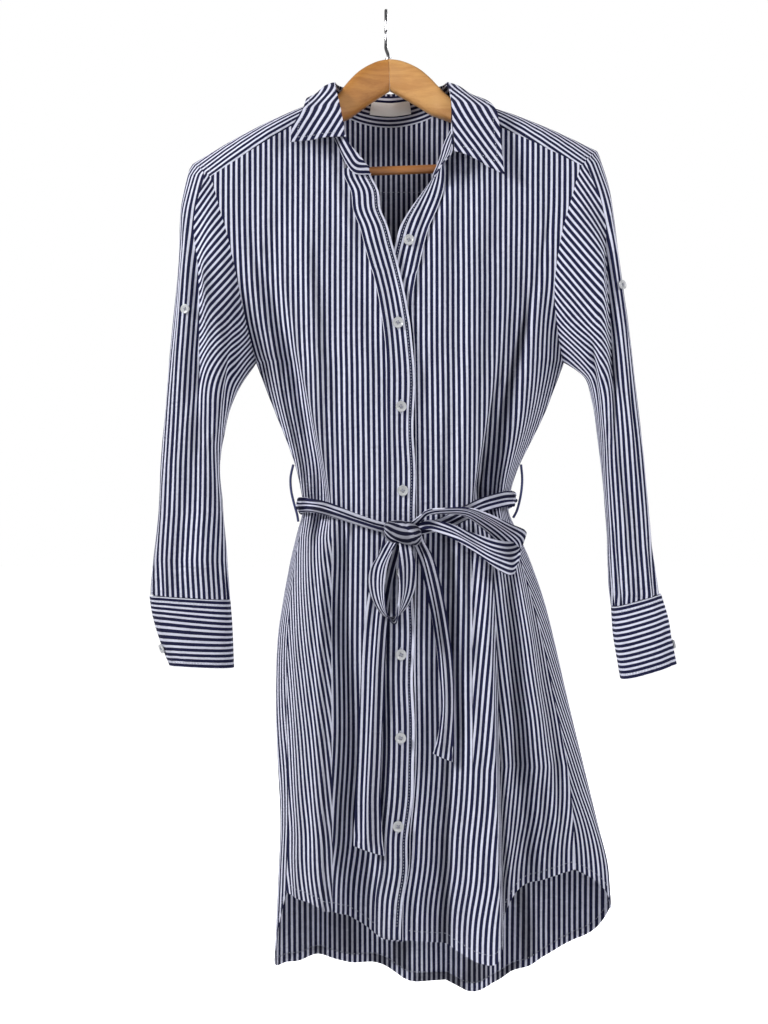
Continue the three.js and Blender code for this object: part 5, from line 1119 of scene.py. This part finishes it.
def tube(name, path, radius, material, sides=10, samples=None):
    path = np.asarray(path, float)
    if samples:
        rows = np.arange(len(path))
        at = np.linspace(0, len(path) - 1, samples)
        path = np.stack([through(rows, path[:, k], at) for k in range(3)], -1)
    ahead = unit(np.gradient(path, axis=0))
    side = unit(np.cross(ahead, [0.013, 1, 0.021]))
    up = np.cross(side, ahead)
    turn = np.linspace(0, 2 * pi, sides + 1)[:-1]
    around = side[:, None] * np.cos(turn)[:, None] + up[:, None] * np.sin(turn)[:, None]
    ring = path[:, None] + around * radius
    faces, _ = gridFaces(len(path), sides, True)
    last = (len(path) - 1) * sides
    faces = faces.tolist() + [list(range(sides)), list(range(last + sides - 1, last - 1, -1))]
    return meshObject(name, ring, [f[::-1] for f in faces], material)


keepers = {
    "left": [(-101.6, -6, -496), (-104.2, -9, -510), (-103.5, -11, -524), (-100.3, -13, -538), (-97, -12.2, -550),
             (-95.8, -9.5, -558)],
    "right": [(147.7, -7, -496), (148.6, -10, -510), (147.6, -14, -522), (145.6, -15, -534), (142.6, -13, -546),
              (138.9, -10, -554)],
}
for name, path in keepers.items():
    piece = tube(f"threadLoop_{name}", path, 1.35, finish["navyThread"], sides=8, samples=60)
    put(piece, f"keeper_{name}")

print("hanger")
armShape = asColumns("x top low y thick", [
    (0, 0, -34.7, 0, 14), (15, -3.2, -43.5, 0, 15), (32, -12.5, -55, -2, 17),
    (44.5, -24, -63.5, -3, 18.5), (55, -37, -68.5, -5, 20), (64, -46.5, -72.5, -6.5, 20.5),
    (80, -60, -80, -9, 21), (100, -72, -90, -12, 21), (130, -83, -103, -16, 21),
    (160, -93.5, -122, -19, 21), (188, -106, -136, -21, 20), (202, -114, -134, -22, 14),
])
hanger = dict(woodTop=-50, tilt=math.radians(2.1), x=3, wire=3.6, loop=19, ringRadius=3.6, armHalf=202,
              armSides=36, armRound=0.62, barRadius=4.6, barHalf=180, barY=-20, barDrop=128)


def tilted(p):
    c, s = math.cos(hanger["tilt"]), math.sin(hanger["tilt"])
    x, z = p[..., 0], p[..., 2]
    return vec(hanger["x"] + x * c - z * s, p[..., 1], hanger["woodTop"] + x * s + z * c)


half, sides = hanger["armHalf"], hanger["armSides"]
tip = np.linspace(0.1, pi / 2, 6)                  # the rounded end
xs = np.concatenate([[0.15, 0.15], np.linspace(0.6, half - 3, 96), half - 3 * (1 - np.sin(tip))])
cut = np.concatenate([[0.94, 0.985], np.ones(96), np.cos(tip * 0.94) ** 0.5])
turn = (np.arange(sides) + 0.5) / sides * 2 * pi
for name, side in (("left", -1), ("right", 1)):
    x = np.minimum(xs, half)[:, None] + 0 * turn
    row = {k: through(armShape["x"], armShape[k], x) for k in ("top", "low", "y", "thick")}
    power = lambda v: np.sign(v) * np.abs(v) ** hanger["armRound"]
    y = row["y"] + row["thick"] / 2 * cut[:, None] * power(np.cos(turn))
    z = (row["top"] + row["low"]) / 2 + (row["top"] - row["low"]) / 2 * cut[:, None] * power(np.sin(turn))
    ring = tilted(vec(side * x, y, z))
    faces, _ = gridFaces(len(xs), sides, True)
    last = (len(xs) - 1) * sides
    faces = faces.tolist() + [list(range(sides))[::-1], list(range(last, last + sides))]
    if side > 0:
        faces = [f[::-1] for f in faces]
    piece = meshObject(f"arm_{name}_wood", ring, faces, finish["woodLeft" if side < 0 else "woodRight"], sharp=40)
    put(piece, f"hanger_arm_{name}")

barEnds = tilted(np.array([[way * hanger["barHalf"], hanger["barY"], -hanger["barDrop"]]
                           for way in (-1, 1)], float))
piece = tube("trouserBar", np.linspace(*barEnds, 40), hanger["barRadius"], finish["woodBar"], sides=32)
put(piece, "hanger_bar")

bend = hanger["loop"] + hanger["wire"] / 2
wire = [(3, 0, -64), (3, 0, -50), (2, 3, -43)]
for a in (-38, -10, 20, 50, 80, 110, 140, 170, 200):
    turned = math.radians(a)
    wire.append((0, bend * math.cos(turned), -hanger["loop"] + bend * math.sin(turned)))
piece = tube("hookWire", wire, hanger["wire"] / 2, finish["steel"], sides=20, samples=160)
put(piece, "hanger_hook")
ringLine = [(3, 0, z) for z in (-51.5, -50.2, -49.4, -48.9)]   # the ring where the wire enters the wood
piece = tube("hookCollar", ringLine, hanger["ringRadius"], finish["steel"], sides=32)
put(piece, None)

print("buttons")
button = dict(radius=5.75, thick=2.4, hole=0.85, holeOut=1.55, diagonal=0.72, sides=48)
buttonLift = dict(front=2.1, cuff=2.6, tab=2.3)      # from the cloth's middle to the button's


def mainButton():
    fresh()
    r, t = button["radius"] * mm, button["thick"] * mm
    bpy.ops.mesh.primitive_cylinder_add(vertices=button["sides"], radius=r, depth=t, location=(0, 0, 0))
    made = bpy.context.object
    bpy.ops.object.mode_set(mode="EDIT")
    bpy.ops.mesh.select_all(action="DESELECT")
    bpy.context.tool_settings.mesh_select_mode = (False, False, True)
    bpy.ops.object.mode_set(mode="OBJECT")
    for face in made.data.polygons:
        face.select = face.normal.z > 0.9
    bpy.ops.object.mode_set(mode="EDIT")
    bpy.ops.mesh.inset(thickness=r * 0.2)
    bpy.ops.transform.translate(value=(0, 0, -t * 0.05))
    bpy.ops.mesh.inset(thickness=r * 0.14)
    bpy.ops.transform.translate(value=(0, 0, -t * 0.26))
    bpy.ops.mesh.select_all(action="SELECT")
    bpy.ops.object.mode_set(mode="OBJECT")
    apply(made, "BEVEL", width=0.00028, segments=2, limit_method="ANGLE", angle_limit=math.radians(30))
    out = button["holeOut"] * mm * button["diagonal"]
    for sx in (-1, 1):
        for sy in (-1, 1):
            fresh()
            bpy.ops.mesh.primitive_cylinder_add(vertices=16, radius=button["hole"] * mm, depth=0.01,
                                                location=(sx * out, sy * out, 0))
            drill = bpy.context.object
            apply(made, "BOOLEAN", operation="DIFFERENCE", object=drill, solver="EXACT")
            bpy.data.objects.remove(drill)
    made.data.polygons.foreach_set("use_smooth", [True] * len(made.data.polygons))
    made.data.set_sharp_from_angle(angle=math.radians(32))
    made.data.materials.clear()
    made.data.materials.append(finish["button"])
    return made


def mainThread():  # two crossed stitches in the holes
    o, h = button["holeOut"] * button["diagonal"], button["thick"] / 2
    verts, faces = [], []
    for sx in (-1, 1):
        path = [(sx * o, -o, -h), (sx * o, -o, 0.4), (sx * o * 0.4, -o * 0.4, 0.95),
                (-sx * o * 0.4, o * 0.4, 0.95), (-sx * o, o, 0.4), (-sx * o, o, -h)]
        made = tube("crossStitch", path, 0.42, finish["buttonThread"], sides=8, samples=24)
        start = len(verts)
        verts += [tuple(v.co / mm) for v in made.data.vertices]
        faces += [[start + i for i in f.vertices] for f in made.data.polygons]
        bpy.data.objects.remove(made)
    return meshObject("crossStitches", verts, faces, finish["buttonThread"])


plainButton, plainThread = mainButton(), mainThread()


def sewButton(name, node, at, normal, turned, size=1.0):
    normal = Vector(normal).normalized()
    face = normal.to_track_quat("Z", "Y").to_matrix().to_4x4()
    where = Matrix.Translation(Vector(at) * mm) @ face @ Matrix.Rotation(turned, 4, "Z") @ Matrix.Scale(size, 4)
    for source, label, nodes in ((plainButton, "disc", node), (plainThread, "thread", None)):
        piece = bpy.data.objects.new(f"{name}_{label}", source.data.copy())
        bpy.context.scene.collection.objects.link(piece)
        piece.data.transform(where)
        put(piece, nodes)


def surfaceAt(make, a, d, step=0.01):  # a point and its facing on a surface
    a, d = np.asarray(a, float), np.asarray(d, float)
    point = make(a, d)
    across = make(a + step, d) - make(a - step, d)
    down = make(a, d + step) - make(a, d - step)
    return point, unit(np.cross(across, down))


def spotAt(make, a, d, outward, step=0.01):
    point, normal = (found[0] for found in surfaceAt(make, [a], [d], step))
    return point, normal * (-1 if np.dot(normal, outward) < 0 else 1)


frontButtons = [(24, -258, "lower"), (13, -347, "upper"), (15.8, -436, "upper"), (17.5, -525, "upper"),
                (16.5, -612, "upper"), (15.5, -699, "upper"), (16, -787, "upper"), (14, -880, "upper")]
bandSpots = []
for i, (x, z, band) in enumerate(frontButtons):
    a, d = (float(share) for share in bandShare(band, x, np.array(float(z))))
    point, normal = spotAt(lambda p, q: bandPoint(band, p, q), a, d, (0, -1, 0), 0.006)
    bandSpots.append((point, normal, band))
    sewButton(f"frontButton_{i + 1}", f"button_front_{i + 1}", point + normal * buttonLift["front"], normal,
              0.5 + 1.7 * i)
for name, s in sleeves.items():
    onCuff = lambda p, q: cuffPoint(s["cuff"], s["slit"], p, q)
    onSleeve = lambda p, q: sleevePoint(s["armhole"], s["table"], p, q)
    for kind, make, a, d in (("cuff", onCuff, 0.05, 0.72),
                             ("tab", onSleeve, math.radians(s["tab"][0]), s["tab"][1])):
        point, normal = spotAt(make, a, d, (s["side"], 0, 0))
        sewButton(f"{kind}Button_{name}", f"button_{kind}_{name}", point + normal * buttonLift[kind], normal,
                  0.4, 0.87)
for spare in (plainButton, plainThread):
    bpy.data.objects.remove(spare)

print("stitching")
stitch = dict(length=2.1, gap=1.1, wide=0.3, high=0.2)
holeStitch = dict(length=1.3, gap=-0.3, wide=0.5, high=0.28)
stitchShape = ((-0.5, 0.25), (-0.32, 0.9), (0.32, 0.9), (0.5, 0.25))      # rings along a stitch, and their sizes


def onLine(values, length, at):
    return np.array([np.interp(at, length, values[:, i]) for i in range(3)])


def stitches(name, lines, lift=0.5, kind=stitch, sides=6):  # each line is its points and their normals
    verts, faces = [], []
    turn = np.arange(sides) / sides * 2 * pi
    step = kind["length"] + kind["gap"]
    for points, normals in lines:
        length = np.concatenate([[0], np.cumsum(np.linalg.norm(np.diff(points, axis=0), axis=1))])
        for at in np.arange(step / 2, length[-1] - step / 2, step):
            p0, p1 = (onLine(points, length, at + k * kind["length"] / 2) for k in (-1, 1))
            n = unit(onLine(normals, length, at))
            ahead = unit(p1 - p0)
            side = unit(np.cross(ahead, n))
            middle = (p0 + p1) / 2 + n * lift
            start = len(verts)
            for along, size in stitchShape:
                centre = middle + ahead * along * kind["length"] - n * (0.25 if abs(along) > 0.4 else 0)
                for t in turn:
                    verts.append(centre + side * math.cos(t) * kind["wide"] * size
                                 + n * math.sin(t) * kind["high"] * size)
            last = start + (len(stitchShape) - 1) * sides
            for ring in range(start, last, sides):
                for j in range(sides):
                    a, b = ring + j, ring + (j + 1) % sides
                    faces.append([a, b, b + sides, a + sides])
            faces += [list(range(start, start + sides))[::-1], list(range(last, last + sides))]
    piece = meshObject(name, verts, faces, finish["seamThread"], sharp=80)
    return put(piece, None)


def seamLine(make, a, d, outward, samples=400, step=0.004):
    t = np.linspace(0, 1, samples)
    a, d = (np.clip(lerp(ends[0], ends[1], t), step, 1 - step) for ends in (a, d))
    point, normal = surfaceAt(make, a, d, step)
    return point, normal * np.where(np.sum(normal * outward(point), -1, keepdims=True) < 0, -1, 1)


forward = lambda p: np.array([0.0, -1.0, 0.0]) + 0 * p
backward = lambda p: np.array([0.0, 1.0, 0.0]) + 0 * p
fromNeck = lambda p: p - np.array([12.0, 5.0, -300.0])
fromChest = lambda p: p - np.array([10.0, 0.0, -400.0])
hemAt = (0.9885, 0.9885)
for band, bandRows in (("upper", (0.14, 0.86)), ("lower", (0.86,))):
    rows = [seamLine(lambda a, d: bandPoint(band, a, d), (at, at), (0.01, 0.985), forward) for at in bandRows]
    stitches(f"bandStitch_{band}", rows, lift=0.62)
    hem = seamLine(lambda a, d: frontPoint(band, a, d), (0.01, 0.995), hemAt, forward)
    stitches(f"panelStitch_{band}", [hem])
hem, normals = seamLine(backPoint, (0.01, 0.99), hemAt, backward)
stitches("hemStitch_back", [(hem, normals), (hem, -normals)])
leafRows = [seamLine(leafPoint, a, d, fromNeck, samples) for a, d, samples in (
    ((0.02, 0.98), (0.88, 0.88), 300), ((0.022, 0.022), (0.12, 0.88), 60), ((0.978, 0.978), (0.12, 0.88), 60))]
stitches("collarStitch", leafRows, lift=0.85)
stitches("yokeStitch", [seamLine(yokePoint, (0.01, 0.99), (0.97, 0.97), fromChest)])
for name, s in sleeves.items():
    onCuff = lambda a, d: cuffPoint(s["cuff"], s["slit"], a, d)
    centre = np.array([(s["cuff"]["outX"][1] + s["cuff"]["inX"][1]) / 2, -12.0, 0.0])
    level = lambda p: (p - centre) * np.array([1, 1, 0])
    rows = [seamLine(onCuff, (0.02, 0.99), (d, d), level) for d in (0.07, 0.93)]
    rows.append(seamLine(onCuff, (0.02, 0.02), (0.07, 0.93), level, 60))
    stitches(f"cuffStitch_{name}", rows, lift=0.85)

print("buttonholes")
holeRows = []
t = np.linspace(0, 2 * pi, 60)
for point, normal, band in bandSpots:
    if band == "upper":
        ring = point + np.stack([1.1 * np.cos(t), 0 * t, 7.6 * np.sin(t)], -1)
        ring[:, 1] = bandPoint("upper", *bandShare("upper", ring[:, 0], ring[:, 2]))[:, 1]
        holeRows.append((ring, np.tile(normal, (60, 1))))
stitches("buttonholes", holeRows, lift=0.6, kind=holeStitch)

print("room, light and camera")
room = dict(floorZ=-1.32, floor=(0.93, 0.93, 0.93, 1), sky=(1, 1, 1, 1), seen=1.0, ambient=0.17, glow=0.96)
fresh()
bpy.ops.mesh.primitive_plane_add(size=30, location=(0, 0, room["floorZ"]))
floor = bpy.context.object
floor.name = "floor"
floorFinish, tree, shader = newMaterial("floorPaint", 0.9)
shader.inputs["Base Color"].default_value = room["floor"]
shader.inputs["Emission Color"].default_value = room["sky"]
toEye = addNode(tree, "ShaderNodeLightPath").outputs["Is Camera Ray"]
feed(tree, shader.inputs["Emission Strength"], calc(tree, "MULTIPLY", toEye, room["glow"]))
floor.data.materials.append(floorFinish)
floor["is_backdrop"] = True
world = bpy.data.worlds.new("softRoom")
bpy.context.scene.world = world
world.use_nodes = True
tree = world.node_tree
sky = tree.nodes["Background"]
sky.inputs["Color"].default_value = room["sky"]
toEye = addNode(tree, "ShaderNodeLightPath").outputs["Is Camera Ray"]
feed(tree, sky.inputs["Strength"],
     calc(tree, "MULTIPLY_ADD", toEye, room["seen"] - room["ambient"], room["ambient"]))
lampsAimAt = (0, 0, -0.55)
lamps = [
    dict(name="keyLamp", at=(-1.65, -0.9, 0.5), size=0.5, power=43),
    dict(name="sideLamp", at=(1.75, -0.95, 0.25), size=0.7, power=21),
    dict(name="fillLamp", at=(0.5, -2.3, 0.3), size=1.6, power=7),
    dict(name="backLamp", at=(1.4, 2.0, 0.7), size=1.3, power=45),
]
for lamp in lamps:
    light = bpy.data.lights.new(lamp["name"], "AREA")
    light.energy, light.size = lamp["power"], lamp["size"]
    holder = bpy.data.objects.new(lamp["name"], light)
    bpy.context.scene.collection.objects.link(holder)
    holder.location = lamp["at"]
    holder.rotation_euler = (Vector(lampsAimAt) - Vector(lamp["at"])).to_track_quat("-Z", "Y").to_euler()
view = dict(lens=41.55, at=(-0.0022, -1.3, -0.5478))
eye = bpy.data.cameras.new("camera")
eye.lens = view["lens"]
camera = bpy.data.objects.new("camera", eye)
bpy.context.scene.collection.objects.link(camera)
camera.location = view["at"]
camera.rotation_euler = (pi / 2, 0, 0)
bpy.context.scene.camera = camera
bpy.context.scene.view_settings.view_transform = "Standard"

low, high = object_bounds()
